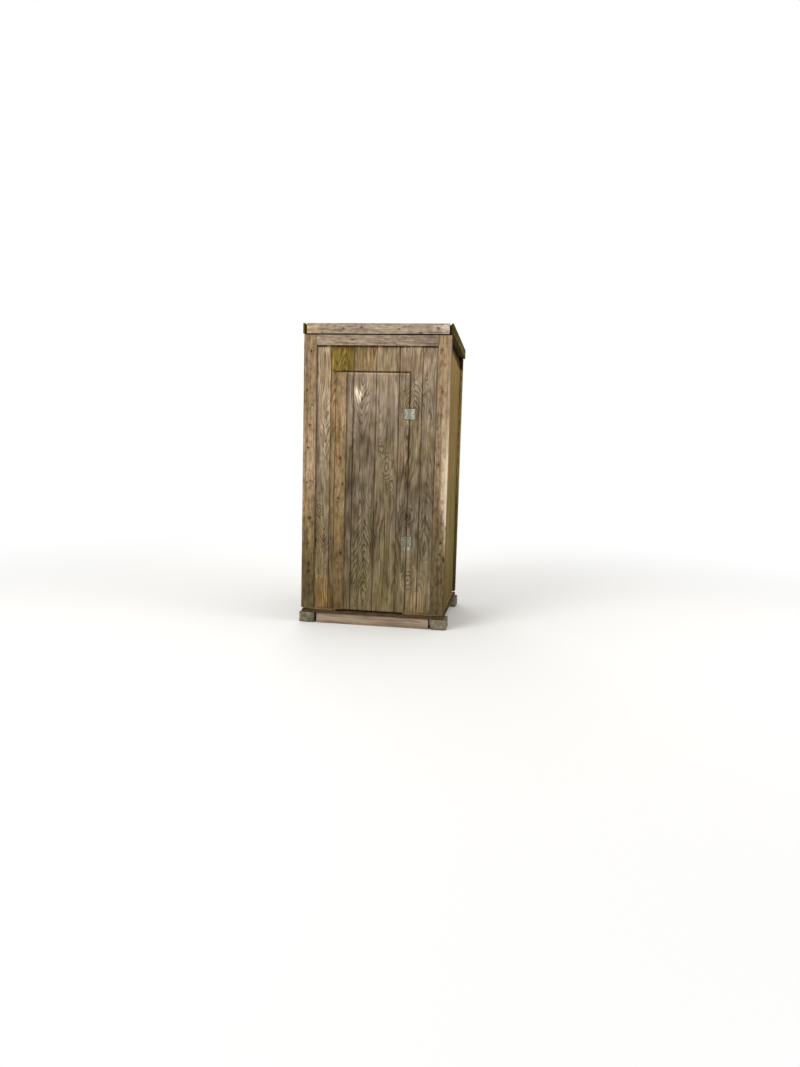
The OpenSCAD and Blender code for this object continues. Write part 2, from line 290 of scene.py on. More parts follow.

# Stains of the front, and painted flecks of sunlight: centre across and up, half width and height, factors,
# strength, slope in degrees
FRONT_STAINS_AND_SUNLIGHT = [
    (-0.176, 2.115, 0.034, 0.075, (2.20, 2.30, 2.30), 0.95),
    (-0.142, 2.060, 0.034, 0.115, (2.20, 2.30, 2.30), 0.95, -14.0),
    (-0.160, 2.090, 0.070, 0.140, BLEACH_AND_SUNLIGHT, 0.60),
    (-0.158, 2.050, 0.130, 0.024, BLEACH_AND_SUNLIGHT, 0.80, -68.0),
    (-0.104, 2.010, 0.075, 0.020, BLEACH_AND_SUNLIGHT, 0.70, 60.0),
    (-0.157, 1.930, 0.085, 0.022, BLEACH_AND_SUNLIGHT, 0.70, -54.0),
    (-0.100, 1.925, 0.075, 0.020, BLEACH_AND_SUNLIGHT, 0.60, 62.0),
    (-0.232, 2.030, 0.022, 0.170, BLEACH_AND_SUNLIGHT, 0.60),
    # The next four streaks are painted flecks of sunlight on the left sheet
    (-0.490, 1.770, 0.130, 0.017, BLEACH_AND_SUNLIGHT, 0.85, -73.0),
    (-0.458, 1.600, 0.080, 0.016, BLEACH_AND_SUNLIGHT, 0.75, 86.0),
    (-0.448, 1.757, 0.120, 0.020, BLEACH_AND_SUNLIGHT, 0.85, -74.0),
    (-0.412, 1.790, 0.110, 0.016, PALER, 1.00, -80.0),
    (-0.450, 2.090, 0.100, 0.150, (0.94, 0.99, 0.96), 0.80),
    (-0.468, 2.452, 0.075, 0.036, (1.36, 1.40, 1.22), 0.90),
    (0.050, 1.740, 0.022, 0.110, PALER, 1.00),
    (0.062, 1.592, 0.026, 0.012, BLEACH_AND_SUNLIGHT, 0.80),
    (-0.120, 1.470, 0.070, 0.150, PALER, 0.80),
    (-0.039, 1.884, 0.020, 0.085, DARKENED, 0.70, 4.0),
    (-0.088, 1.780, 0.014, 0.080, DARKENED, 0.70, -8.0),
    (-0.100, 1.690, 0.056, 0.090, DARKENED, 1.00),
    (-0.063, 1.568, 0.036, 0.120, DARKENED, 1.00),
    (-0.080, 1.640, 0.060, 0.190, (0.76, 0.70, 0.64), 0.90),
    (-0.150, 1.330, 0.110, 0.060, (0.78, 0.74, 0.72), 0.80),
    (0.140, 1.680, 0.012, 0.100, DARKENED, 0.70, -6.0),
    (0.372, 1.900, 0.030, 0.080, DARKENED, 0.60),
    (0.368, 1.790, 0.030, 0.060, DARKENED, 0.60),
    (0.371, 1.650, 0.018, 0.100, PALER, 1.00),
    (0.385, 1.494, 0.050, 0.055, DARKENED, 0.80),
    (0.294, 1.281, 0.050, 0.060, DARKENED, 0.70),
    (0.367, 1.204, 0.036, 0.095, DARKENED, 0.95),
    (0.372, 0.985, 0.026, 0.070, DARKENED, 0.80, 10.0),
    (0.336, 0.925, 0.040, 0.034, DARKENED, 0.80),
    (0.300, 1.015, 0.070, 0.090, (0.74, 0.70, 0.62), 0.90),
    (0.300, 1.015, 0.014, 0.020, SCAR, 0.70),
    (0.396, 0.832, 0.045, 0.055, (0.52, 0.42, 0.40), 0.80),
    (0.383, 0.640, 0.034, 0.130, (0.62, 0.68, 0.60), 0.90),
    (-0.012, 0.770, 0.024, 0.420, DARKENED, 0.70),
    (-0.500, 0.985, 0.060, 0.014, DARKENED, 0.60, -8.0),
    (-0.450, 0.775, 0.045, 0.050, DARKENED, 0.85),
    (-0.470, 0.620, 0.040, 0.100, PALER, 0.60),
    (0.068, 0.610, 0.030, 0.210, BLEACH_AND_SUNLIGHT, 0.70, -2.0),
    (0.110, 0.760, 0.060, 0.200, OLIVE, 0.70),
    (-0.120, 0.430, 0.120, 0.260, OLIVE, 0.80),
    (0.120, 0.300, 0.120, 0.240, OLIVE, 0.50),
    (-0.450, 0.225, 0.130, 0.150, GOLDEN, 0.80),
    (-0.480, 0.380, 0.110, 0.110, GOLDEN, 0.50),
    (-0.360, 0.200, 0.050, 0.130, GOLDEN, 0.70),
    (-0.300, 2.480, 0.110, 0.060, DARKENED, 0.60),
    (-0.109, 2.405, 0.040, 0.045, (0.80, 0.68, 0.62), 0.80),
    (0.345, 2.400, 0.060, 0.100, PALER, 0.60),
    (0.260, 2.458, 0.016, 0.024, DARKENED, 0.70),
    (0.383, 2.450, 0.016, 0.030, DARKENED, 0.70),
    (0.452, 1.340, 0.035, 0.300, PALER, 0.70),
    (0.296, 1.838, 0.080, 0.040, ZINC_STAIN, 0.75),
    (0.298, 1.860, 0.014, 0.012, SOOTY, 1.00),
    (0.298, 0.748, 0.014, 0.012, SOOTY, 1.00),
    (0.276, 0.728, 0.026, 0.030, BLEACH_AND_SUNLIGHT, 0.85),
    (0.322, 0.728, 0.024, 0.030, BLEACH_AND_SUNLIGHT, 0.85),
    (0.270, 0.690, 0.030, 0.180, ZINC_STAIN, 0.95),
    (0.324, 0.690, 0.026, 0.160, ZINC_STAIN, 0.95),
    (0.300, 0.600, 0.016, 0.200, ZINC_STAIN, 0.80),
    (0.326, 0.442, 0.014, 0.024, BLEACH_AND_SUNLIGHT, 0.80),
    (0.159, 1.311, 0.016, 0.018, SOOTY, 0.90),
    (-0.511, 0.429, 0.026, 0.007, CREAM, 0.90, 37.0),
    (-0.478, 0.434, 0.018, 0.006, CREAM, 0.90, -31.0),
    (-0.500, 0.230, 0.090, 0.130, (0.84, 0.84, 0.72), 0.80),
    (0.245, 0.400, 0.050, 0.300, (1.20, 1.28, 1.46), 0.80),
    (0.301, 1.015, 0.085, 0.120, (0.84, 0.82, 0.82), 0.80),
    (0.301, 1.015, 0.022, 0.034, (0.56, 0.50, 0.46), 0.90),
    (-0.168, 2.090, 0.055, 0.110, (1.30, 1.30, 1.28), 0.70),
]

# Tones of the front, board by board: left, right, low, high, softness up the board, factors
FRONT_TONES = [
    (-0.406, -0.203, 2.262, 2.489, 0.004, (0.72, 0.66, 0.24)),
    (-0.203, 0.000, 2.262, 2.489, 0.004, (0.78, 0.71, 0.55)),
    (0.000, 0.203, 2.262, 2.489, 0.004, (0.98, 0.98, 0.90)),
    (0.203, 0.406, 2.262, 2.489, 0.004, (1.00, 0.94, 0.86)),
    (0.406, 0.537, 2.262, 2.489, 0.004, (0.92, 0.92, 0.90)),
    # The next two rows darken the strip left of the latch board: painted shadow of the latch board
    (-0.406, -0.361, 1.650, 2.262, 0.080, (0.62, 0.55, 0.40)),
    (-0.406, -0.361, 0.140, 1.650, 0.080, (0.80, 0.74, 0.66)),
    (-0.620, -0.363, 0.140, 2.200, 0.300, (1.55, 1.53, 1.50)),
    (-0.620, -0.363, 0.140, 0.800, 0.300, (0.86, 0.84, 0.80)),
    (0.206, 0.293, 1.900, 2.248, 0.120, (0.72, 0.71, 0.62)),
    (0.206, 0.293, 1.300, 1.900, 0.120, (0.86, 0.84, 0.82)),
    (-0.340, 0.293, 2.244, 2.256, 0.004, (1.45, 1.36, 1.40)),
    (0.302, 0.620, 0.140, 1.100, 0.200, (1.22, 1.22, 1.28)),
]

# Lines of painted shade and dirt on the front, in gaps and grooves and under and beside boards: left, right,
# low and high edge, softness, strength
FRONT_LINES = [
    (0.2905, 0.3075, 1.460, 2.262, 0.004, 0.85),
    (0.2925, 0.3055, 0.150, 1.460, 0.004, 0.50),
    (-0.3660, -0.3540, 1.650, 2.262, 0.004, 0.80),
    (-0.3650, -0.3550, 0.150, 1.650, 0.004, 0.45),
    (-0.3200, 0.3020, 2.266, 2.274, 0.004, 0.90),
    (-0.5370, 0.5370, 2.474, 2.492, 0.006, 0.85),
    (0.5270, 0.5400, 0.140, 2.480, 0.005, 0.60),
    (-0.5400, -0.5300, 1.700, 2.480, 0.005, 0.40),
    (-0.5400, -0.5330, 0.140, 1.700, 0.004, 0.25),
    (-0.2100, -0.1960, 0.140, 1.700, 0.004, 0.30),
    (0.1965, 0.2100, 1.300, 2.480, 0.004, 0.30),
    (0.2490, 0.3490, 0.738, 0.836, 0.002, 0.80),
    (0.2490, 0.3490, 1.858, 1.956, 0.002, 0.60),
    (-0.6200, 0.6200, 0.138, 0.148, 0.004, 0.50),
]

# Linear factors for red, green and blue up the hut, at shares of its height
# The front: weathering, with painted light that is brightest high up and falls off toward the foot
FRONT_WEATHER_AND_LIGHT = [
    (0.05, (0.47, 0.46, 0.34)),
    (0.13, (0.48, 0.49, 0.39)),
    (0.31, (0.39, 0.40, 0.36)),
    (0.48, (0.40, 0.41, 0.38)),
    (0.62, (0.53, 0.54, 0.49)),
    (0.76, (0.64, 0.65, 0.66)),
    (0.95, (0.81, 0.81, 0.77)),
]
# The trim: weathering, with painted dappled light that is brightest at mid height and falls off below
TRIM_WEATHER_AND_LIGHT = [
    (0.04, (0.25, 0.26, 0.21)),
    (0.20, (0.31, 0.31, 0.25)),
    (0.38, (0.54, 0.54, 0.47)),
    (0.52, (0.88, 0.89, 0.86)),
    (0.66, (0.86, 0.87, 0.86)),
    (0.76, (0.66, 0.65, 0.61)),
    (0.95, (0.62, 0.60, 0.56)),
]
TOP_WEATHER = [
    (0.960, (0.67, 0.67, 0.64)),
    (0.968, (0.77, 0.80, 0.79)),
]
# The latch board: weathering, with painted light that falls off toward the foot
LATCH_WEATHER_AND_LIGHT = [
    (0.04, (0.44, 0.45, 0.40)),
    (0.20, (0.52, 0.54, 0.50)),
    (0.45, (0.67, 0.70, 0.66)),
    (0.70, (0.80, 0.84, 0.89)),
]
SIDE_WEATHER = [
    (0.04, (0.50, 0.50, 0.37)),
    (0.25, (0.65, 0.65, 0.59)),
    (0.60, (0.77, 0.74, 0.70)),
    (0.88, (0.82, 0.77, 0.66)),
]
EVEN_WEATHER = [(0.0, (0.60, 0.60, 0.57)), (1.0, (0.76, 0.76, 0.74))]

# Factors of the side sheets' clouds. Under the roof: dust darkened with painted shade, as seen, heights of
# the painted shade with dirt, and its fall
SIDE_TINT = (0.88, 0.91, 0.77)
EAVE_DUST_AND_SHADE = (64, 50, 30)
EAVE_SHADE_HEIGHTS = (2.425, 2.465)
EAVE_SHADE_SLOPE = 0.10

# Knots of the front boards: across, up, radius
CORNER_KNOTS = [
    (-0.584, 2.436, 0.012),
    (-0.621, 2.228, 0.007),
    (-0.619, 2.098, 0.009),
    (-0.574, 1.972, 0.009),
    (-0.589, 1.795, 0.010),
    (-0.604, 1.594, 0.010),
    (-0.577, 0.963, 0.018),
    (-0.592, 0.735, 0.010),
    (-0.581, 0.545, 0.010),
    (-0.584, 0.478, 0.014),
    (0.567, 2.454, 0.011),
    (0.597, 2.329, 0.007),
    (0.578, 2.105, 0.008),
    (0.573, 1.474, 0.010),
    (0.610, 0.792, 0.013),
    (0.600, 0.690, 0.007),
    (0.585, 0.640, 0.006),
]
TOP_KNOTS = [
    (-0.299, 2.631, 0.009),
    (-0.139, 2.640, 0.010),
    (0.377, 2.597, 0.012),
    (0.531, 2.636, 0.013),
    (0.190, 2.630, 0.006),
    (-0.221, 2.538, 0.008),
]
LATCH_KNOTS = [
    (-0.311, 1.509, 0.011),
    (-0.282, 1.279, 0.011),
    (-0.343, 1.250, 0.007),
    (-0.323, 1.153, 0.009),
    (-0.296, 0.658, 0.011),
    (-0.322, 0.565, 0.008),
]

# Stains, scars and cracks of the boards in front of the sheets, and painted sunlight on the right corner
# board
CORNER_STAINS_AND_SUNLIGHT = [
    (-0.612, 1.283, 0.036, 0.018, SCAR, 1.00, 25.0),
    (-0.574, 1.297, 0.034, 0.019, SCAR, 1.00, -35.0),
    (-0.552, 1.270, 0.020, 0.060, (0.80, 0.74, 0.76), 0.90),
    (-0.558, 0.915, 0.024, 0.045, (0.66, 0.58, 0.58), 0.90),
    (-0.590, 1.770, 0.050, 0.170, (1.22, 1.16, 1.12), 0.80),
    (-0.590, 1.620, 0.040, 0.090, (1.45, 1.36, 1.10), 0.70),
    (-0.597, 1.612, 0.026, 0.010, PALER, 0.90, -50.0),
    (-0.600, 1.100, 0.050, 0.140, (1.28, 1.16, 0.92), 0.70),
    (-0.590, 2.230, 0.050, 0.130, (0.80, 0.76, 0.72), 0.60),
    (-0.585, 0.290, 0.060, 0.200, (0.96, 0.90, 0.98), 0.90),
    (-0.585, 0.600, 0.060, 0.460, (0.88, 0.86, 0.70), 0.90),
    (0.585, 1.100, 0.055, 0.420, (0.84, 0.78, 0.76), 0.80),
    # A painted patch of sunlight on the right part of the right corner board
    (0.612, 1.240, 0.050, 0.420, (1.30, 1.26, 1.30), 0.85),
    (0.610, 2.400, 0.040, 0.240, (1.10, 1.02, 0.84), 0.80),
    (0.590, 2.030, 0.050, 0.200, (0.96, 0.90, 0.96), 0.80),
    (0.556, 2.100, 0.020, 0.440, (1.00, 0.92, 0.92), 0.70),
    (0.570, 1.560, 0.075, 0.560, (0.64, 0.63, 0.68), 0.90),
    (0.575, 0.600, 0.050, 0.380, (1.12, 1.16, 1.34), 0.80),
]
TOP_STAINS = [
    (0.560, 2.635, 0.110, 0.080, (1.40, 1.42, 1.56), 0.95),
    (0.600, 2.635, 0.050, 0.080, (1.60, 1.66, 1.84), 0.95),
    (-0.570, 2.635, 0.100, 0.080, (1.22, 1.10, 0.94), 0.90),
    (-0.480, 2.640, 0.160, 0.060, (0.86, 0.84, 0.72), 0.80),
    (-0.330, 2.528, 0.160, 0.036, (1.16, 1.14, 1.12), 0.70),
    (0.445, 2.545, 0.110, 0.060, (0.90, 0.82, 0.88), 0.90),
    (0.010, 2.612, 0.030, 0.034, (0.78, 0.90, 0.56), 0.90),
    (-0.491, 2.597, 0.016, 0.014, SCAR, 0.90),
    (0.520, 2.596, 0.120, 0.012, (0.50, 0.42, 0.38), 0.90),
    (0.295, 2.594, 0.016, 0.008, SCAR, 0.90),
    (0.103, 2.604, 0.016, 0.014, KNOT_HALO, 0.90),
    (-0.120, 2.602, 0.200, 0.010, (0.90, 0.70, 0.70), 0.70, -2.0),
    (0.243, 2.646, 0.024, 0.004, SCAR, 0.90, 60.0),
    (0.283, 2.656, 0.022, 0.004, SCAR, 0.90, 66.0),
    (-0.240, 2.497, 0.320, 0.006, PALER, 0.80),
    (0.146, 2.524, 0.036, 0.005, SCAR, 1.00, -40.0),
    (0.170, 2.504, 0.016, 0.007, SCAR, 0.90, -40.0),
    (0.452, 2.552, 0.024, 0.005, SCAR, 0.90, 62.0),
    (0.470, 2.556, 0.026, 0.004, SCAR, 0.90, -58.0),
]
LATCH_STAINS = [
    (-0.330, 1.760, 0.030, 0.360, (1.24, 1.02, 0.64), 0.55),
    (-0.310, 2.150, 0.050, 0.120, (1.10, 1.04, 1.06), 0.80),
    (-0.300, 1.280, 0.030, 0.110, (0.76, 0.66, 0.60), 0.70),
    (-0.311, 1.509, 0.034, 0.040, (0.66, 0.54, 0.46), 0.80),
    (-0.290, 1.590, 0.030, 0.060, (0.96, 0.82, 0.86), 0.90),
    (-0.310, 0.820, 0.040, 0.160, (1.30, 1.04, 0.78), 0.70),
    (-0.300, 0.640, 0.045, 0.040, (0.72, 0.62, 0.58), 0.80),
]


def seen(colour):
    """A colour from 0 to 255, as seen on a screen, in the shader's own linear numbers."""
    linear = [c / 3294.6 if c <= 10 else ((c / 255 + 0.055) / 1.055) ** 2.4 for c in colour]
    return (*linear, 1.0)


class NodeTree:
    """The emptied node tree of one material or world, and short calls for the nodes in it."""

    def __init__(self, owner):
        self.owner = owner
        owner.use_nodes = True
        self.nodes = owner.node_tree.nodes
        self.links = owner.node_tree.links
        self.nodes.clear()

    def node(self, kind, inputs, **settings):
        made = self.nodes.new("ShaderNode" + kind)
        for name, value in settings.items():
            setattr(made, name, value)
        for key, value in inputs.items():
            if isinstance(value, bpy.types.NodeSocket):
                self.links.new(value, made.inputs[key])
            else:
                made.inputs[key].default_value = value
        return made

    def math(self, operation, *values):
        return self.node("Math", dict(enumerate(values)), operation=operation).outputs[0]

    def product(self, a, b):
        return self.math("MULTIPLY", a, b)

    def vector(self, operation, *values):
        made = self.node("VectorMath", dict(enumerate(values)), operation=operation)
        return made.outputs["Value" if operation == "LENGTH" else "Vector"]

    def place(self):
        """The place in the frame, in metres."""
        return self.node("TexCoord", {}).outputs["Object"]

    def parts(self, place):
        return tuple(self.node("SeparateXYZ", {0: place}).outputs)

    def coordinates(self):
        """The place in the frame as x, y and z."""
        return self.parts(self.place())

    def point(self, *values):
        return self.node("CombineXYZ", dict(enumerate(values))).outputs[0]

    def red(self, colour):
        return self.node("SeparateColor", {0: colour}).outputs[0]

    def noise(self, place, waves, detail=2.0, roughness=0.5, output=0):
        """Noise about 0.5, in waves per metre: one number, or one for each axis."""
        waves = waves if isinstance(waves, tuple) else (waves,) * 3
        stretched = self.vector("MULTIPLY", place, waves)
        inputs = {"Vector": stretched, "Scale": 1.0, "Detail": detail, "Roughness": roughness}
        return self.node("TexNoise", inputs).outputs[output]

    def flake(self, place, waves):
        """A number from 0 to 1 for each small cell."""
        return self.red(self.node("TexVoronoi", {"Vector": place, "Scale": waves}).outputs["Color"])

    def fade(self, value, start, end, low=0.0, high=1.0):
        """A smooth step from low at start to high at end."""
        inputs = {"Value": value, "From Min": start, "From Max": end, "To Min": low, "To Max": high}
        return self.node("MapRange", inputs, interpolation_type="SMOOTHSTEP").outputs[0]

    def ramp(self, value, stops):
        """Linear colours at their places from 0 to 1."""
        made = self.node("ValToRGB", {0: value})
        elements = made.color_ramp.elements
        while len(elements) < len(stops):
            elements.new(1.0)
        for element, (position, colour) in zip(elements, stops):
            element.position = position
            element.color = (*colour[:3], 1.0)
        return made.outputs[0]

    def mix(self, factor, a, b, blend="MIX"):
        inputs = {0: factor, 6: a, 7: b}
        return self.node("Mix", inputs, data_type="RGBA", blend_type=blend).outputs[2]

    def times(self, colour, factor):
        return self.mix(1.0, colour, factor, "MULTIPLY")

    def tint(self, colour, mask, factors):
        """The colour times linear factors for red, green and blue, as far as the mask says."""
        return self.mix(mask, colour, (*factors, 1.0), "MULTIPLY")

    def cover(self, colour, mask, strength, tone):
        """The colour under a tone as seen, as far as the mask times the strength says."""
        return self.mix(self.product(mask, strength), colour, seen(tone))

    def spot(self, place, centre, half_size, slope=0.0):
        """1 at the centre and 0 from the rim of an ellipsoid outward, turned by slope degrees."""
        offset = self.vector("SUBTRACT", place, centre)
        if slope:
            turn = {"Vector": offset, "Angle": math.radians(slope)}
            offset = self.node("VectorRotate", turn, rotation_type="Y_AXIS").outputs[0]
        share = self.vector("DIVIDE", offset, half_size)
        return self.fade(self.vector("LENGTH", share), 1.0, SPOT_CORE)

    def band(self, value, low, high, soft):
        """1 from low to high and 0 outside, with soft borders."""
        up = self.fade(value, low - soft, low + soft)
        down = self.fade(value, high - soft, high + soft, 1.0, 0.0)
        return self.product(up, down)

    def finish(self, colour, roughness, height, relief, specular=0.04, metallic=0.0):
        bump = self.node("Bump", {"Height": height, "Distance": relief}).outputs[0]
        inputs = {"Base Color": colour, "Roughness": roughness, "Normal": bump}
        inputs.update({"Specular IOR Level": specular, "Metallic": metallic})
        shader = self.node("BsdfPrincipled", inputs)
        self.node("OutputMaterial", {0: shader.outputs[0]})
        return self.owner


def new_finish(name):
    return NodeTree(bpy.data.materials.new(name))


def grain_place(f, along):
    """The place with the grain's own direction last."""
    x, y, z = f.coordinates()
    return f.point(*{"X": (z, y, x), "Y": (x, z, y), "Z": (x, y, z)}[along])


def wandering(f, place, across, along, waves=(3.5, 3.5, 1.1)):
    """The place pushed about by up to these lengths, so that grain and stains aren't straight."""
    push = f.noise(place, waves, 2.0, output=1)
    push = f.vector("SUBTRACT", push, (0.5, 0.5, 0.5))
    push = f.vector("MULTIPLY", push, (across, 0.0, along))
    return f.vector("ADD", place, push)


def growth_rings(f, place, near, scale, count, eyes=(), flames=()):
    """A level that climbs by one from ring to ring, and a mask of the named eyes and flames in it.

    An eye is a nest of ovals. A flame is a nest of arches that point down, or up where way is -1.
    """
    level = f.product(f.noise(place, scale, 1.0, 0.35), count)
    named = 0.0
    wobble = f.noise(near, FIGURE_WAVES, 4.0, 0.60)
    for across, up, half_width, half_height, rings, *way in (*eyes, *flames):
        offset = f.vector("SUBTRACT", near, (across, 0.0, up))
        share = f.vector("DIVIDE", offset, (half_width, THROUGH, half_height))
        away = f.vector("LENGTH", share)
        window = f.fade(away, 1.0, FIGURE_CORE)
        climb = away
        if way:
            sideways, _, along = f.parts(share)
            arch = f.math("SQRT", f.math("MULTIPLY_ADD", sideways, sideways, FLAME_ROUND))
            climb = f.math("MULTIPLY_ADD", along, -way[0], arch)
        own = f.math("MULTIPLY_ADD", climb, rings, count / 2 - rings * FIGURE_DROP - FIGURE_WOBBLE / 2)
        own = f.math("MULTIPLY_ADD", wobble, FIGURE_WOBBLE, own)
        share = f.product(window, FIGURE_SHARE)
        level = f.math("MULTIPLY_ADD", f.math("SUBTRACT", own, level), share, level)
        named = f.math("MAXIMUM", named, window)
    return level, named


def late_wood(f, level, named):
    """The dark line that closes each ring, uneven from year to year, and the pale wood after it."""
    ring = f.math("FRACT", level)
    line = f.product(f.fade(ring, 0.42, 0.82), f.fade(ring, 0.88, 1.0, 1.0, 0.0))
    index = f.math("FLOOR", level)
    year = f.node("TexWhiteNoise", {"W": index}, noise_dimensions="1D").outputs["Value"]
    year = f.math("MAXIMUM", f.math("MULTIPLY_ADD", year, 0.6, 0.4), f.product(named, 0.9))
    line = f.product(line, year)
    return line, f.fade(ring, 0.0, 0.40, 1.0, 0.0)


def wood(f, place, bent, level, tones, figure=1.0, named=0.0):
    """The colour and height of bare wood with its rings, streaks, fibres and fine drying cracks."""
    pale, mid, dark = (seen(tone) for tone in tones)
    late, early = late_wood(f, level, named)
    patchy = f.fade(f.noise(place, (6.0, 6.0, 1.2)), 0.36, 0.64, 0.25 * figure, 0.80 * figure)
    strength = f.math("MAXIMUM", patchy, f.product(named, 0.72))
    broad = f.fade(f.noise(bent, (15.0, 15.0, 0.8), 3.0, 0.6), 0.30, 0.70)
    colour = f.mix(broad, mid, pale)
    colour = f.mix(f.product(late, strength), colour, dark)
    colour = f.times(colour, f.math("MULTIPLY_ADD", f.product(early, strength), 0.20, 1.0))
    streak = f.noise(bent, (46.0, 46.0, 3.2), 3.0, 0.65)
    hair = f.fade(f.noise(bent, (76.0, 76.0, 4.2), 2.0, 0.6), 0.54, 0.70)
    fine = f.noise(bent, (140.0, 140.0, 6.0), 2.0)
    fibre = f.noise(place, (420.0, 420.0, 8.0), 2.0)
    crack = f.fade(f.noise(bent, (170.0, 170.0, 2.2), 1.0), 0.69, 0.75)
    colour = f.times(colour, f.fade(streak, 0.33, 0.67, 1 - 0.26 * figure, 1 + 0.24 * figure))
    colour = f.tint(colour, f.product(hair, 0.8 * figure), (0.62, 0.58, 0.54))
    colour = f.times(colour, f.fade(fine, 0.30, 0.70, 0.88, 1.10))
    colour = f.times(colour, f.fade(fibre, 0.30, 0.70, 0.92, 1.07))
    colour = f.cover(colour, crack, 0.55, GRIME_AND_SHADE)
    height = f.math("MULTIPLY_ADD", fibre, 0.45, f.product(late, 0.40))
    height = f.math("MULTIPLY_ADD", hair, -0.5, height)
    return colour, f.math("SUBTRACT", height, crack)


def clouded(f, colour, bent, waves, low, high):
    """Broad clouds from a darker to a paler tone."""
    cloud = f.noise(bent, waves, 2.5)
    return f.times(colour, f.ramp(cloud, [(0.34, low), (0.50, (1.0, 1.0, 1.0)), (0.66, high)]))


def tinted_up_the_hut(f, colour, up, stops):
    """The colour times factors that change with the height above the ground, for weathering and, in some
    tables, painted light.
    """
    share = f.math("DIVIDE", up, HUT_TOP)
    return f.times(colour, f.ramp(share, stops))


def toned(f, colour, across, up, tones):
    """Boards between grooves with a tone of their own."""
    for left, right, low, high, soft, factors in tones:
        mask = f.product(f.band(across, left, right, 0.004), f.band(up, low, high, soft))
        colour = f.tint(colour, mask, factors)
    return colour


def spotted(f, colour, place, spots, waves=(60.0, 60.0, 3.0)):
    """Soft spots of stain and scars, and painted flecks of sunlight where a table holds them, broken up
    lengthwise as the wood took them.
    """
    broken = f.fade(f.noise(place, waves, 2.0), 0.35, 0.60, 0.55, 1.0)
    for across, up, half_width, half_height, tone, strength, *slope in spots:
        centre, half_size = (across, 0.0, up), (half_width, THROUGH, half_height)
        mask = f.spot(place, centre, half_size, *slope)
        mask = f.product(mask, f.product(broken, strength))
        colour = f.tint(colour, mask, tone)
    return colour


def shade_and_dirt_lines(f, colour, place, across, up, lines):
    """Painted shade and dirt along edges, gaps and grooves."""
    broken = f.fade(f.noise(place, (30.0, 30.0, 9.0), 2.0), 0.30, 0.62, 0.35, 1.0)
    for left, right, low, high, soft, strength in lines:
        mask = f.product(f.band(across, left, right, soft), f.band(up, low, high, soft))
        colour = f.cover(colour, mask, f.product(broken, strength), GRIME_AND_SHADE)
    return colour


def drips(f, colour, across, up, top, longest, tone, strength):
    """Runs of uneven length that start at one edge, as a mask mixed over the colour."""
    runs = f.noise(f.point(across, 0.0, 0.0), (75.0, 1.0, 1.0), 1.0)
    length = f.fade(runs, 0.35, 0.70, 0.0, longest)
    below = f.math("SUBTRACT", top, up)
    mask = f.fade(f.math("SUBTRACT", length, below), 0.0, 0.02)
    return f.cover(colour, mask, strength, tone)


def grooved(f, colour, depth):
    """Painted shade and dirt in the grooves, and the unweathered veneer on the inner face."""
    colour = f.cover(colour, f.band(depth, *GROOVE_DEPTHS), 0.45, GROOVE_DIRT_AND_SHADE)
    return f.cover(colour, f.fade(depth, *VENEER_DEPTHS), 0.75, INNER_VENEER)


def front_plywood():
    """Grooved sheets of the front and the door, whose grain runs on from one to the other."""
    f = new_finish("front_plywood")
    x, y, z = f.coordinates()
    place = grain_place(f, "Z")
    near = wandering(f, place, 0.020, 0.060, (9.0, 9.0, 4.0))
    bent = wandering(f, near, 0.030, 0.10)
    level, named = growth_rings(f, bent, near, (6.0, 6.0, 0.75), 26.0, FRONT_EYES, FRONT_FLAMES)
    colour, height = wood(f, place, bent, level, FRONT_WOOD, 1.0, named)
    for waves, low, high in FRONT_CLOUDS:
        colour = clouded(f, colour, bent, waves, low, high)
    colour = toned(f, colour, x, z, FRONT_TONES)
    colour = tinted_up_the_hut(f, colour, z, FRONT_WEATHER_AND_LIGHT)
    colour = spotted(f, colour, near, FRONT_STAINS_AND_SUNLIGHT)
    for left, right, longest, tone, strength in FRONT_DRIPS:
        wet = drips(f, colour, x, z, FRIEZE_FOOT, longest, tone, strength)
        colour = f.mix(f.band(x, left, right, 0.01), colour, wet)
    colour = shade_and_dirt_lines(f, colour, place, x, z, FRONT_LINES)
    colour = grooved(f, colour, f.math("SUBTRACT", y, FRONT_FACE))
    return f.finish(colour, 0.82, height, 0.0009)


def eave_shade_and_dirt(f, colour, x, y, z):
    """Painted shade, with some dirt, close under the roof, which reaches lower toward the rear."""
    level = f.math("MULTIPLY_ADD", y, EAVE_SHADE_SLOPE, z)
    return f.tint(colour, f.fade(level, *EAVE_SHADE_HEIGHTS), (0.18, 0.13, 0.08))


def plain_plywood(name, depth_axis, face, inward, tones):
    """Grooved sheets of a side or the rear."""
    f = new_finish(name)
    parts = dict(zip("XYZ", f.coordinates()))
    place = grain_place(f, "Z")
    if depth_axis == "X":
        place = f.point(parts["Y"], parts["X"], parts["Z"])
    near = wandering(f, place, 0.014, 0.035, (9.0, 9.0, 3.5))
    bent = wandering(f, near, 0.030, 0.10)
    level, _ = growth_rings(f, bent, near, (6.0, 6.0, 0.90), 16.0)
    colour, height = wood(f, place, bent, level, tones, 0.7)
    colour = clouded(f, colour, bent, (3.0, 3.0, 1.1), (0.86, 0.86, 0.84), (1.12, 1.10, 1.04))
    cloud = f.fade(f.noise(bent, (2.2, 2.2, 0.9)), 0.40, 0.64)
    colour = f.tint(colour, cloud, SIDE_TINT)
    colour = tinted_up_the_hut(f, colour, parts["Z"], SIDE_WEATHER)
    if depth_axis == "X":
        colour = eave_shade_and_dirt(f, colour, parts["X"], parts["Y"], parts["Z"])
    depth = f.product(f.math("SUBTRACT", parts[depth_axis], face), inward)
    return f.finish(grooved(f, colour, depth), 0.82, height, 0.0009)


def knot_place(along, across, up):
    """A knot's place across and along the grain, from its place across the front and up it."""
    return (up, across) if along == "X" else (across, up)


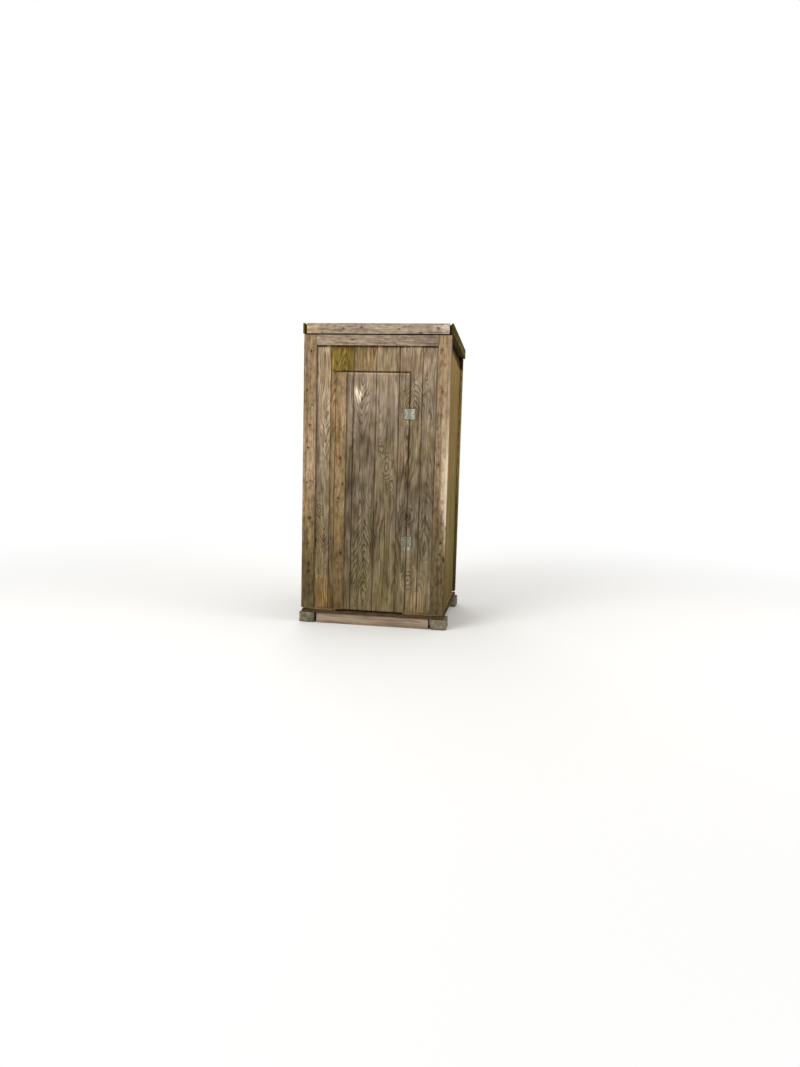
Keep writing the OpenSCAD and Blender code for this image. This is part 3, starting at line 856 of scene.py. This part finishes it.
def named_knots(f, colour, face, along, knots):
    """Dark, smudged knots with soft halos that reach along the grain."""
    for across, up, r in knots:
        centre = (across, 0.0, up)
        wide, tall = knot_place(along, r * 1.8, r * 3.2)
        halo = f.spot(face, centre, (wide, THROUGH, tall))
        heart = f.spot(face, centre, (r * 1.3, THROUGH, r * 1.3))
        colour = f.tint(colour, halo, KNOT_HALO)
        colour = f.tint(colour, heart, KNOT_HEART)
    return colour


def strewn_knots(f, colour, place):
    """Small knots strewn over boards that the photograph doesn't show."""
    cell = f.vector("MULTIPLY", place, (9.0, 9.0, 3.0))
    spread = f.node("TexVoronoi", {"Vector": cell, "Scale": 1.0}).outputs
    chosen = f.fade(f.red(spread["Color"]), 0.50, 0.60)
    heart = f.product(f.fade(spread["Distance"], 0.14, 0.05), chosen)
    return f.tint(colour, heart, KNOT_HEART)


def sunlit_edge(f, colour, x, y, z):
    """Painted sunlight on the right edge of the front corner, with a ragged border."""
    ragged = f.noise(f.point(x, y, z), (70.0, 70.0, 26.0), 4.0, 0.65)
    border = f.fade(z, 0.86, 1.10, *PALE_BORDER)
    beyond = f.math("SUBTRACT", f.math("MULTIPLY_ADD", ragged, 0.100, x), border)
    front = f.fade(y, BOARD_FACE + 0.001, BOARD_FACE + 0.004, 1.0, 0.0)
    front = f.product(front, f.fade(beyond, 0.034, 0.088))
    stops = [(place, (share,) * 3) for place, share in PALE_EDGE]
    sunlight_strength = f.red(f.ramp(f.math("DIVIDE", z, HUT_TOP), stops))
    return f.cover(colour, front, sunlight_strength, PALE_ARRIS)


def dark_behind(f, colour, x, y, z):
    """The rear fascia's inner face, dark with painted shade and dirt under the roof."""
    inner = f.fade(y, REAR_FASCIA_FACE - 0.018, REAR_FASCIA_FACE - 0.022)
    return f.tint(colour, inner, (0.16, 0.12, 0.08))


def pale_arris(f, colour, x, y, z):
    """The front edge of a side board with painted sunlight, and its outer face, with painted shade under the
    roof.
    """
    outward = f.math("ABSOLUTE", x)
    outer = f.fade(outward, SIDE_BOARD_FACE - 0.004, SIDE_BOARD_FACE - 0.001)
    colour = f.tint(colour, outer, (0.74, 0.62, 0.38))
    # Painted shade from the roof on the top of the outer face
    roofed = f.product(f.fade(z, 2.34, 2.48), f.fade(y, BOARD_FACE + 0.004, BOARD_FACE + 0.03))
    colour = f.tint(colour, roofed, (0.30, 0.24, 0.16))
    return sunlit_edge(f, colour, x, y, z)


def knotty_board(name, along, tones, height_tints, knots=(), spots=(), figure=0.75, edge=None):
    """Planed boards with small knots, and grain that gives way to them."""
    f = new_finish(name)
    x, y, z = f.coordinates()
    place = grain_place(f, along)
    near = wandering(f, place, 0.006, 0.012, (14.0, 14.0, 6.0))
    bent = wandering(f, place, 0.016, 0.10)
    eyes = [(*knot_place(along, a, b), r * 2.6, r * 5.5, 3.0) for a, b, r in knots]
    level, named = growth_rings(f, bent, near, (11.0, 11.0, 0.45), 13.0, eyes)
    accent = f.product(named, 0.5) if knots else 0.0
    colour, height = wood(f, place, bent, level, tones, figure, accent)
    colour = clouded(f, colour, bent, (5.0, 5.0, 1.8), (0.86, 0.84, 0.82), (1.11, 1.10, 1.06))
    colour = clouded(f, colour, bent, (48.0, 48.0, 20.0), (0.74, 0.68, 0.66), (1.20, 1.20, 1.18))
    colour = tinted_up_the_hut(f, colour, z, height_tints)
    if knots:
        face = wandering(f, f.point(x, y, z), 0.011, 0.011, 55.0)
        colour = named_knots(f, colour, face, along, knots)
        colour = spotted(f, colour, face, spots, 60.0)
    else:
        colour = strewn_knots(f, colour, place)
    if edge:
        colour = edge(f, colour, x, y, z)
    return f.finish(colour, 0.80, height, 0.0006)


def plain_wood(f, along, waves, rings, tones, figure):
    """Wood with its grain along one axis and no named figure: its place, colour and height."""
    place = grain_place(f, along)
    bent = wandering(f, place, 0.02, 0.10)
    level, _ = growth_rings(f, bent, bent, waves, rings)
    return (place, *wood(f, place, bent, level, tones, figure))


def bare_timber(name, along, tones, rings=12.0, dust_and_shade=(120, 100, 74)):
    """Planed framing timber and plain plywood inside."""
    f = new_finish(name)
    place, colour, height = plain_wood(f, along, (9.0, 9.0, 0.5), rings, tones, 0.6)
    dust = f.fade(f.noise(place, (5.0, 5.0, 3.0), 3.0), 0.45, 0.70)
    return f.finish(f.cover(colour, dust, 0.30, dust_and_shade), 0.72, height, 0.0004)


def decking():
    """Sheathing plywood, clean inside and dark grey-brown along its edges with weathering and painted shade.
    """
    f = new_finish("decking")
    x, y, _ = f.coordinates()
    place, colour, height = plain_wood(f, "X", (6.0, 6.0, 0.5), 18.0, DECKING_WOOD, 0.6)
    inside = f.product(f.band(x, -0.632, 0.632, 0.01), f.band(y, -0.640, 0.552, 0.008))
    plies = f.fade(f.noise(f.place(), (6.0, 6.0, 260.0), 1.0), 0.40, 0.60, 0.72, 1.16)
    # The edges' dark colour is painted shade under the walls, with weathering
    edge = f.times(seen(PLY_EDGE), plies)
    edge = f.times(edge, f.fade(f.noise(place, (40.0, 40.0, 12.0), 3.0), 0.3, 0.7, 0.75, 1.2))
    return f.finish(f.mix(inside, edge, colour), 0.85, height, 0.0006)


def rough_timber():
    """Sawn sleepers, pale where rain washes them and dark with earth below."""
    f = new_finish("rough_timber")
    z = f.coordinates()[2]
    place, colour, height = plain_wood(f, "X", (10.0, 10.0, 0.6), 10.0, SLEEPER_WOOD, 0.7)
    colour = f.cover(colour, f.fade(z, 0.055, 0.0), f.noise(place, 30.0, 4.0), EARTH)
    shade = f.fade(z, 0.070, 0.096, 1.0, 0.62)
    return f.finish(f.times(colour, shade), 0.9, height, 0.0014)


def field_stone():
    """Grey-green stone with lichen and earth on its foot."""
    f = new_finish("field_stone")
    place = f.place()
    body = f.noise(place, 14.0, 6.0, 0.65)
    tones = [(0.30, seen((74, 69, 54))), (0.5, seen((114, 107, 88))), (0.7, seen((150, 142, 122)))]
    colour = f.ramp(body, tones)
    grit = f.noise(place, 160.0, 3.0, 0.7)
    colour = f.times(colour, f.fade(grit, 0.3, 0.7, 0.74, 1.20))
    lichen = f.fade(f.noise(place, 38.0, 4.0, 0.7), 0.58, 0.66)
    colour = f.cover(colour, lichen, 0.6, (146, 146, 116))
    soil = f.fade(f.parts(place)[2], 0.035, 0.0)
    colour = f.cover(colour, soil, 0.6, (92, 78, 58))
    return f.finish(colour, 0.92, f.math("ADD", body, grit), 0.003)


def roll_roofing():
    """Dark mineral felt with granules, a worn bloom, moss and silt."""
    f = new_finish("roll_roofing")
    place = f.place()
    shade = f.flake(place, 420.0)
    tones = [(0.0, seen((44, 44, 42))), (0.7, seen((84, 84, 80))), (1.0, seen((138, 136, 128)))]
    colour = f.ramp(shade, tones)
    bloom = f.fade(f.noise(place, 2.6, 4.0, 0.6), 0.42, 0.66)
    colour = f.cover(colour, bloom, 0.35, (118, 114, 100))
    washed = f.fade(f.noise(place, (22.0, 1.6, 1.0), 3.0), 0.52, 0.70)
    colour = f.cover(colour, washed, 0.30, (104, 96, 78))
    moss = f.fade(f.noise(place, 11.0, 4.0, 0.7), 0.60, 0.70)
    colour = f.cover(colour, moss, 0.50, (80, 88, 46))
    return f.finish(colour, 0.93, shade, 0.0008)


def zinc_steel():
    """Dull galvanised hinges with spangle, white bloom and brown dirt, the lower one browner."""
    f = new_finish("zinc_steel")
    place = f.place()
    x, _, z = f.parts(place)
    colour = f.ramp(f.flake(place, 130.0), [(0.0, seen((138, 140, 122))), (1.0, seen((166, 166, 148)))])
    bloom = f.fade(f.noise(place, (60.0, 60.0, 40.0), 4.0, 0.65), 0.45, 0.62)
    colour = f.cover(colour, bloom, 0.5, (184, 184, 166))
    low = f.fade(z, 1.0, 1.6, 1.0, 0.0)
    dirt = f.fade(f.noise(place, (90.0, 90.0, 60.0), 4.0, 0.7), 0.40, 0.62)
    colour = f.cover(colour, dirt, f.math("MULTIPLY_ADD", low, 0.45, 0.30), (104, 90, 68))
    colour = f.tint(colour, low, (0.78, 0.74, 0.68))
    colour = f.times(colour, f.fade(x, 0.298, 0.300, 0.84, 1.06))
    # Dark lines in the seams beside the knuckles: painted shade, with dirt
    seam = f.math("ABSOLUTE", f.math("SUBTRACT", x, HINGE_AXIS))
    seam = f.band(seam, 0.0035, 0.0085, 0.0015)
    colour = f.cover(colour, seam, 0.75, (52, 50, 34))
    rough = f.math("MULTIPLY_ADD", bloom, 0.25, 0.50)
    return f.finish(colour, rough, bloom, 0.0002, specular=0.5, metallic=0.25)


def rusty_steel():
    """Nail and screw heads gone brown."""
    f = new_finish("rusty_steel")
    rust = f.noise(f.place(), 260.0, 3.0, 0.6)
    colour = f.ramp(rust, [(0.35, seen((62, 52, 44))), (0.6, seen((104, 78, 56)))])
    return f.finish(colour, 0.7, rust, 0.0002, metallic=0.4)


def clean_mesh(node):
    """A closed copy of a CAD node's mesh, with whole flat faces, as an open bmesh."""
    bm = bmesh.new()
    bm.from_mesh(frame["nodes"][node].data)
    bmesh.ops.remove_doubles(bm, verts=bm.verts, dist=WELD_WITHIN)
    bmesh.ops.dissolve_limit(bm, angle_limit=math.radians(FLAT_UNDER), verts=bm.verts, edges=bm.edges)
    return bm


def cut_stations(bm, low, high, step, axis):
    """Cuts across one axis at even steps, so that the long faces can wander."""
    normal = Vector([float(i == axis) for i in range(3)])
    count = max(1, round((high[axis] - low[axis]) / step))
    for i in range(1, count):
        place = low + normal * (high[axis] - low[axis]) * i / count
        parts = bm.verts[:] + bm.edges[:] + bm.faces[:]
        bmesh.ops.bisect_plane(bm, geom=parts, plane_co=place, plane_no=normal)


def round_edges(bm, edge):
    """Small rounds along every sharp edge."""
    sharp = math.radians(ROUND_OVER)
    edges = [e for e in bm.edges if len(e.link_faces) == 2 and e.calc_face_angle() > sharp]
    bmesh.ops.bevel(bm, geom=edges, offset=edge, segments=2, profile=0.5, affect="EDGES", clamp_overlap=True)


def wear_down(bm, wear, waves):
    """Takes the surface down by uneven amounts up to wear."""
    bm.normal_update()
    dents = [wear * (0.5 + 0.5 * noise.noise(v.co * waves)) for v in bm.verts]
    for vertex, dent in zip(bm.verts, dents):
        vertex.co -= vertex.normal * max(0.0, dent)


def new_piece(name, bm, material, body):
    """A finished mesh piece in the frame, from a bmesh."""
    bmesh.ops.recalc_face_normals(bm, faces=bm.faces)
    mesh = bpy.data.meshes.new(name)
    bm.to_mesh(mesh)
    bm.free()
    if "custom_normal" in mesh.attributes:
        mesh.attributes.remove(mesh.attributes["custom_normal"])
    mesh.shade_smooth()
    mesh.set_sharp_from_angle(angle=math.radians(SMOOTH_UNDER))
    mesh.materials.clear()
    mesh.materials.append(material)
    piece = bpy.data.objects.new(name, mesh)
    bpy.context.scene.collection.objects.link(piece)
    piece.modifiers.new("flat_faces", "WEIGHTED_NORMAL").keep_sharp = True
    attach(piece, body)
    return piece


def worn_copy(node, material, edge=0.0022, wear=0.0012, step=0.11, waves=9.0):
    """A CAD node's own shape with worn arrises and slightly uneven faces, in its place."""
    cad = frame["nodes"][node]
    low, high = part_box(node)
    size = high - low
    long_axis = max(range(3), key=lambda i: size[i])
    bm = clean_mesh(node)
    cut_stations(bm, low, high, step, long_axis)
    round_edges(bm, edge)
    wear_down(bm, wear, waves)
    piece = new_piece(node + "_worn", bm, material, cad["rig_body"])
    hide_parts(node)
    return piece


def add_nail(bm, place, outward, radius, height):
    """One domed nail head, sunk a little, facing outward."""
    turn = outward.to_track_quat("Z", "Y").to_matrix()
    rings = []
    for share, lift in NAIL_PROFILE:
        ring = []
        for i in range(NAIL_SIDES):
            angle = math.tau * i / NAIL_SIDES
            out = radius * share
            spot = Vector((math.cos(angle) * out, math.sin(angle) * out, lift * height))
            ring.append(bm.verts.new(place + turn @ spot))
        rings.append(ring)
    top = bm.verts.new(place + turn @ Vector((0.0, 0.0, height)))
    bm.faces.new(rings[0][::-1])
    for low, high in zip(rings, rings[1:]):
        for i in range(NAIL_SIDES):
            j = (i + 1) % NAIL_SIDES
            bm.faces.new((low[i], low[j], high[j], high[i]))
    for i in range(NAIL_SIDES):
        bm.faces.new((rings[-1][i], rings[-1][(i + 1) % NAIL_SIDES], top))


def nail_piece(name, heads, size, material, body):
    """Nail heads in one piece: each has its place on a surface and the way that surface faces."""
    chance = random.Random(name)
    bm = bmesh.new()
    for place, outward in heads:
        spread = Vector([chance.uniform(-1, 1) * NAIL_SPREAD for _ in range(3)])
        spread -= outward * spread.dot(outward)
        tilt = Vector([chance.uniform(-NAIL_TILT, NAIL_TILT) for _ in range(3)])
        add_nail(bm, place + spread, (outward + tilt).normalized(), *size)
    return new_piece(name, bm, material, body)


def nail_row(start, end, count, outward, pair=None):
    """Even nails from start to end, or pairs of them, half of pair to each side of that line."""
    places = [Vector(start).lerp(Vector(end), i / (count - 1)) for i in range(count)]
    if pair is not None:
        places = [p + pair * s for p in places for s in (-0.5, 0.5)]
    return [(p, outward) for p in places]


def trim_heads():
    """Nails of the boards on the corners, under the roof and along it."""
    across, deep, up = (Vector(axis) * BOARD_NAIL_PAIR for axis in ((1, 0, 0), (0, 1, 0), (0, 0, 1)))
    fall = 2 * RAKE_NAIL_REACH * ROOF_SLOPE
    heads = []
    for side in (-1, 1):
        outward = Vector((side, 0, 0))
        x = side * CORNER_BOARD_MIDDLE
        for y, top, way in ((BOARD_FACE, 2.52, TO_FRONT), (REAR_BOARD_FACE, 2.44, TO_REAR)):
            heads += nail_row((x, y, BOARD_NAIL_FOOT), (x, y, top), 7, way, across)
        x = side * SIDE_BOARD_FACE
        for y, top in ((-0.6355, 2.48), (0.5455, 2.44)):
            heads += nail_row((x, y, BOARD_NAIL_FOOT), (x, y, top), 7, outward, deep)
        x = side * RAKE_FACE
        start, end = (x, -RAKE_NAIL_REACH, RAKE_MIDDLE), (x, RAKE_NAIL_REACH, RAKE_MIDDLE - fall)
        heads += nail_row(start, end, 4, outward, up)
    for places, y, z, way in LEVEL_NAILS:
        heads += [(Vector((x, y, z)) + up * s, way) for x in places for s in (-0.5, 0.5)]
    return [(place - way * TRIM_NAIL_SINK, way) for place, way in heads]


def sheet_heads():
    """Nails of the grooved sheets, into the studs, the plates and the header behind them."""
    foot, face, rear = SHEET_NAIL_FOOT, FRONT_FACE + SHEET_NAIL_SINK, REAR_FACE - SHEET_NAIL_SINK
    heads = []
    for x in FRONT_STUDS:
        heads += nail_row((x, face, foot), (x, face, 2.20), 11, TO_FRONT)
    heads += [(Vector((x, face, 2.312)), TO_FRONT) for x in HEADER_NAILS]
    heads += [(Vector((x, face, 0.153)), TO_FRONT) for x in FRONT_PLATE_NAILS]
    for x in REAR_STUDS:
        heads += nail_row((x, rear, foot), (x, rear, 2.36), 9, TO_REAR)
    for side in (-1, 1):
        x, outward = side * (RIGHT_FACE - SHEET_NAIL_SINK), Vector((side, 0, 0))
        for y in SIDE_STUDS:
            heads += nail_row((x, y, foot), (x, y, 2.34), 9, outward)
        heads += [(Vector((x, y, 0.150)), outward) for y in SIDE_PLATE_NAILS]
    return heads


def door_heads():
    """Nails of the door: through its latch board, and through the panel into the stile by the hinges."""
    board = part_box("door_latch_board")
    x, y = (board[0].x + board[1].x) / 2, board[0].y
    heads = nail_row((x, y, 0.26), (x, y, 2.16), 6, TO_FRONT, Vector((LATCH_NAIL_PAIR, 0, 0)))
    face = FRONT_FACE + SHEET_NAIL_SINK
    heads += nail_row((STILE_MIDDLE, face, SHEET_NAIL_FOOT), (STILE_MIDDLE, face, 2.20), 9, TO_FRONT)
    heads += [(Vector((x, face, z)), TO_FRONT) for x in (-0.16, 0.04) for z in (0.19, 2.20)]
    return heads


def new_vertices(made):
    return [g for g in made["geom"] if isinstance(g, bmesh.types.BMVert)]


def add_screw(bm, place, radius, turned):
    """One flat screw head with a crossed recess, on the front."""
    part = bmesh.new()
    bmesh.ops.create_circle(part, cap_ends=True, radius=radius * SCREW_FLAT, segments=SCREW_SIDES)
    arm, reach = radius * CROSS_ARM, radius * CROSS_REACH
    for normal in (Vector((1, 0, 0)), Vector((0, 1, 0))):
        for offset in (-reach, -arm, arm, reach):
            everything = part.verts[:] + part.edges[:] + part.faces[:]
            bmesh.ops.bisect_plane(part, geom=everything, plane_co=normal * offset, plane_no=normal)
    cross = []
    for face in part.faces:
        middle = face.calc_center_median()
        flat, tall = abs(middle.x), abs(middle.y)
        if (flat < arm and tall < reach) or (tall < arm and flat < reach):
            cross.append(face)
    sunk = bmesh.ops.extrude_face_region(part, geom=cross)
    bmesh.ops.delete(part, geom=cross, context="FACES")
    for vertex in new_vertices(sunk):
        vertex.co.z -= SCREW_LIFT * CROSS_DEPTH
    rim = [e for e in part.edges if e.is_boundary]
    skirt = bmesh.ops.extrude_edge_only(part, edges=rim)
    for vertex in new_vertices(skirt):
        vertex.co.x /= SCREW_FLAT
        vertex.co.y /= SCREW_FLAT
        vertex.co.z -= SCREW_LIFT
    bmesh.ops.holes_fill(part, edges=[e for e in part.edges if e.is_boundary], sides=0)
    turn = Matrix.Rotation(math.radians(90), 3, "X") @ Matrix.Rotation(math.radians(turned), 3, "Z")
    for vertex in part.verts:
        vertex.co = place + turn @ vertex.co
    mesh = bpy.data.meshes.new("screw")
    part.to_mesh(mesh)
    part.free()
    bm.from_mesh(mesh)
    bpy.data.meshes.remove(mesh)


def screw_piece(name, side, material, body):
    """The three screws of each hinge leaf on one side of the hinges' axis."""
    chance = random.Random(name)
    bm = bmesh.new()
    for middle in (HINGE_LOW, HINGE_HIGH):
        for away, up in SCREW_PLACES:
            place = Vector((HINGE_AXIS + side * away, LEAF_FACE - SCREW_LIFT, middle + up))
            add_screw(bm, place, SCREW_RADIUS, chance.uniform(0, 90))
    return new_piece(name, bm, material, body)


def roof_height(y):
    """Height of the roofing's upper face at a place along the slope."""
    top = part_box("roofing_sheet")
    return top[1].z - ROOF_SLOPE * (y - top[0].y)


def upper_course(material):
    """The upper width of roofing, which laps over the lower one with a slightly wavy edge."""
    low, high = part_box("roofing_sheet")
    bm = bmesh.new()
    columns, rows = COURSE_COLUMNS, COURSE_ROWS
    layers = []
    for lift in (0.0, COURSE_THICKNESS):
        grid = []
        for j in range(rows + 1):
            for i in range(columns + 1):
                x = low.x + (high.x - low.x) * i / columns
                edge = LAP_EDGE + LAP_WAVER * noise.noise(Vector((x * 9.0, 3.0, 0.0)))
                y = low.y + (edge - low.y) * j / rows
                wave = noise.noise(Vector((x * 11.0, y * 7.0, 1.0)))
                swell = COURSE_SWELL * (1 + wave) if lift else -COURSE_SINK
                grid.append(bm.verts.new((x, y, roof_height(y) + lift + swell)))
        layers.append(grid)
    width = columns + 1
    for j in range(rows):
        for i in range(columns):
            a = j * width + i
            corners = (a, a + 1, a + 1 + width, a + width)
            bm.faces.new([layers[1][c] for c in corners])
            bm.faces.new([layers[0][c] for c in corners[::-1]])
    rim = list(range(columns)) + [j * width + columns for j in range(rows)]
    rim += [rows * width + i for i in range(columns, 0, -1)] + [j * width for j in range(rows, 0, -1)]
    for a, b in zip(rim, rim[1:] + rim[:1]):
        bm.faces.new((layers[0][a], layers[0][b], layers[1][b], layers[1][a]))
    return new_piece("roofing_upper_course", bm, material, "root")


def roofing_heads():
    """Broad nails along the lap, the eave and both rakes."""
    up = Vector((0.0, ROOF_SLOPE, 1.0)).normalized()
    lap = LAP_EDGE - LAP_NAIL_INSET
    above = COURSE_THICKNESS + LAP_NAIL_LIFT
    nails = [(-0.60 + 0.10 * i, y, lift) for y, lift in ((lap, above), (0.655, 0.0)) for i in range(13)]
    for x in (-0.618, 0.618):
        nails += [(x, y, above) for y in (-0.60, -0.48, -0.36, -0.24)]
        nails += [(x, y, 0.0) for y in (-0.06, 0.06, 0.18, 0.30, 0.42, 0.54)]
    return [(Vector((x, y, roof_height(y) + lift)), up) for x, y, lift in nails]


def dress_sheets():
    front = front_plywood()
    for node in ("wall_front_left", "wall_front_right", "wall_front_over", "door_panel"):
        worn_copy(node, front, *SHEET_WEAR)
    golden = ((153, 130, 82), (134, 112, 69), (96, 76, 46))
    grey = ((162, 142, 112), (138, 119, 90), (98, 81, 58))
    right = plain_plywood("right_plywood", "X", RIGHT_FACE, -1.0, golden)
    left = plain_plywood("left_plywood", "X", LEFT_FACE, 1.0, grey)
    rear = plain_plywood("rear_plywood", "Y", REAR_FACE, -1.0, grey)
    for node, material in (("wall_right", right), ("wall_left", left), ("wall_rear", rear)):
        worn_copy(node, material, *SHEET_WEAR)


def dress_trim():
    tan = ((178, 155, 125), (158, 136, 106), (120, 98, 70))
    pink = ((184, 165, 145), (166, 148, 128), (130, 110, 90))
    olive = ((160, 138, 84), (138, 117, 67), (100, 82, 44))
    # The rake boards' dark olive tones are partly painted shade under the roof's edge
    dull = ((92, 79, 24), (75, 63, 19), (46, 37, 10))
    corner = knotty_board("corner_boards_front", "Z", tan, TRIM_WEATHER_AND_LIGHT, CORNER_KNOTS, CORNER_STAINS_AND_SUNLIGHT,
                          edge=sunlit_edge)
    top = knotty_board("top_boards_front", "X", pink, TOP_WEATHER, TOP_KNOTS, TOP_STAINS, 0.5)
    edge = knotty_board("side_boards_front", "Z", tan, TRIM_WEATHER_AND_LIGHT, edge=pale_arris)
    upright = knotty_board("upright_boards", "Z", tan, TRIM_WEATHER_AND_LIGHT)
    rear_side = knotty_board("side_boards_rear", "Z", olive, TRIM_WEATHER_AND_LIGHT, edge=eave_shade_and_dirt)
    level = knotty_board("level_boards", "X", tan, EVEN_WEATHER, edge=dark_behind)
    rake = knotty_board("rake_boards", "Y", dull, EVEN_WEATHER)
    for side in ("left", "right"):
        worn_copy("corner_board_front_" + side, corner)
        worn_copy("side_board_front_" + side, edge)
        worn_copy("corner_board_rear_" + side, upright)
        worn_copy("side_board_rear_" + side, rear_side)
        worn_copy("rake_board_" + side, rake)
    worn_copy("frieze_board", top)
    worn_copy("fascia_front", top)
    worn_copy("fascia_rear", level)
    gold = ((166, 140, 104), (148, 122, 86), (112, 86, 56))
    latch = knotty_board("latch_board", "Z", gold, LATCH_WEATHER_AND_LIGHT, LATCH_KNOTS, LATCH_STAINS)
    worn_copy("door_latch_board", latch)


def dress_frame():
    planed = ((188, 158, 114), (168, 138, 94), (138, 106, 66))
    groups = {
        "X": ("bottom_plates_front", "bottom_plate_rear", "door_header", "top_plate_front",
              "door_stop_top", "door_ledges"),
        "Y": ("bottom_plates_side", "side_rails"),
        "Z": ("corner_posts", "door_studs", "wall_studs", "door_stop_sides", "door_stiles"),
    }
    for along, nodes in groups.items():
        timber = bare_timber("planed_timber_" + along.lower(), along, planed)
        for node in nodes:
            worn_copy(node, timber, *FRAME_WEAR)
    # Rafters and sheathing under the roof: dark wood, darkened further with painted shade
    dark = ((72, 53, 27), (59, 42, 21), (42, 29, 13))
    worn_copy("rafters", bare_timber("rafter_timber", "Y", dark, dust_and_shade=EAVE_DUST_AND_SHADE), *FRAME_WEAR)
    worn_copy("floor_deck", decking(), *FLOOR_WEAR)
    under = bare_timber("roof_sheathing", "X", dark, 16.0, EAVE_DUST_AND_SHADE)
    worn_copy("roof_deck", under, *ROOF_DECK_WEAR)
    worn_copy("top_plate_rear", under, *FRAME_WEAR)


def dress_base():
    worn_copy("sleepers", rough_timber(), *SLEEPER_WEAR)
    worn_copy("foundation_stones", field_stone(), *STONE_WEAR)


def dress_metal_and_roof():
    steel, rusty, felt = zinc_steel(), rusty_steel(), roll_roofing()
    for node in ("hinge_wall_leaves", "hinge_door_leaves", "hinge_pins"):
        worn_copy(node, steel, *STEEL_WEAR)
    worn_copy("roofing_sheet", felt, *FELT_WEAR)
    upper_course(felt)
    nail_piece("roofing_nails", roofing_heads(), ROOFING_NAIL, steel, "root")
    nail_piece("trim_nails", trim_heads(), TRIM_NAIL, rusty, "root")
    nail_piece("sheet_nails", sheet_heads(), SHEET_NAIL, rusty, "root")
    nail_piece("door_nails", door_heads(), SHEET_NAIL, rusty, "door")
    screw_piece("wall_leaf_screws", 1, rusty, "root")
    screw_piece("door_leaf_screws", -1, rusty, "door")


def make_floor():
    """A pale floor that keeps the shadow and runs out into the white background."""
    bpy.ops.mesh.primitive_circle_add(vertices=96, radius=FLOOR_RADIUS, fill_type="NGON")
    floor = bpy.context.object
    floor.name = "floor"
    f = new_finish("floor")
    x, y, _ = f.coordinates()
    away = f.fade(f.vector("LENGTH", f.point(x, y)), *FLOOR_FADE)
    looked_at = f.product(away, f.node("LightPath", {}).outputs["Is Camera Ray"])
    pale = f.node("BsdfDiffuse", {"Color": seen(FLOOR_COLOUR)}).outputs[0]
    white = f.node("Emission", {"Color": WHITE, "Strength": 1.0}).outputs[0]
    shader = f.node("MixShader", {0: looked_at, 1: pale, 2: white}).outputs[0]
    f.node("OutputMaterial", {0: shader})
    floor.data.materials.append(f.owner)


def make_sky():
    """Even light at a plain level, seen as white behind the hut and in its metal."""
    world = bpy.data.worlds.new("sky")
    bpy.context.scene.world = world
    f = NodeTree(world)
    rays = f.node("LightPath", {}).outputs
    through = f.math("MAXIMUM", rays["Is Glossy Ray"], rays["Is Transmission Ray"])
    seen_directly = f.math("MAXIMUM", rays["Is Camera Ray"], through)
    light = f.node("Background", {"Color": WHITE, "Strength": SKY_STRENGTH}).outputs[0]
    white = f.node("Background", {"Color": WHITE, "Strength": 1.0}).outputs[0]
    shader = f.node("MixShader", {0: seen_directly, 1: light, 2: white}).outputs[0]
    f.node("OutputWorld", {0: shader})


def make_lamp(name, place, watts):
    """A large soft lamp aimed at the middle of the hut."""
    lamp = bpy.data.lights.new(name, "AREA")
    lamp.shape = "DISK"
    lamp.size = LAMP_SIZE
    lamp.energy = watts
    holder = bpy.data.objects.new(name, lamp)
    holder.location = place
    aim = (CAD_BOX[0] + CAD_BOX[1]) / 2 - place
    holder.rotation_euler = aim.to_track_quat("-Z", "Y").to_euler()
    bpy.context.scene.collection.objects.link(holder)


def make_camera():
    """The photograph's own view."""
    yaw, pitch, roll = (math.radians(a) for a in (CAMERA_YAW, CAMERA_PITCH_DOWN, CAMERA_ROLL))
    level = Vector((math.sin(yaw), math.cos(yaw), 0.0))
    right = Vector((math.cos(yaw), -math.sin(yaw), 0.0))
    forward = level * math.cos(pitch) - Vector((0.0, 0.0, 1.0)) * math.sin(pitch)
    up = Vector((0.0, 0.0, 1.0)) * math.cos(pitch) + level * math.sin(pitch)
    across = right * math.cos(roll) + up * math.sin(roll)
    upward = up * math.cos(roll) - right * math.sin(roll)
    data = bpy.data.cameras.new("camera")
    data.sensor_width = SENSOR_MM
    data.lens = FOCAL_LENGTH_PX / PHOTO_HEIGHT_PX * SENSOR_MM
    camera = bpy.data.objects.new("camera", data)
    turn = Matrix((across, upward, -forward)).transposed()
    camera.matrix_world = Matrix.Translation(CAMERA_PLACE) @ turn.to_4x4()
    bpy.context.scene.collection.objects.link(camera)
    bpy.context.scene.camera = camera


def main():
    bpy.context.scene.view_settings.view_transform = "Standard"
    make_camera()
    make_floor()
    make_sky()
    for lamp in LAMPS:
        make_lamp(*lamp)
    dress_sheets()
    dress_trim()
    dress_frame()
    dress_base()
    dress_metal_and_roof()


main()
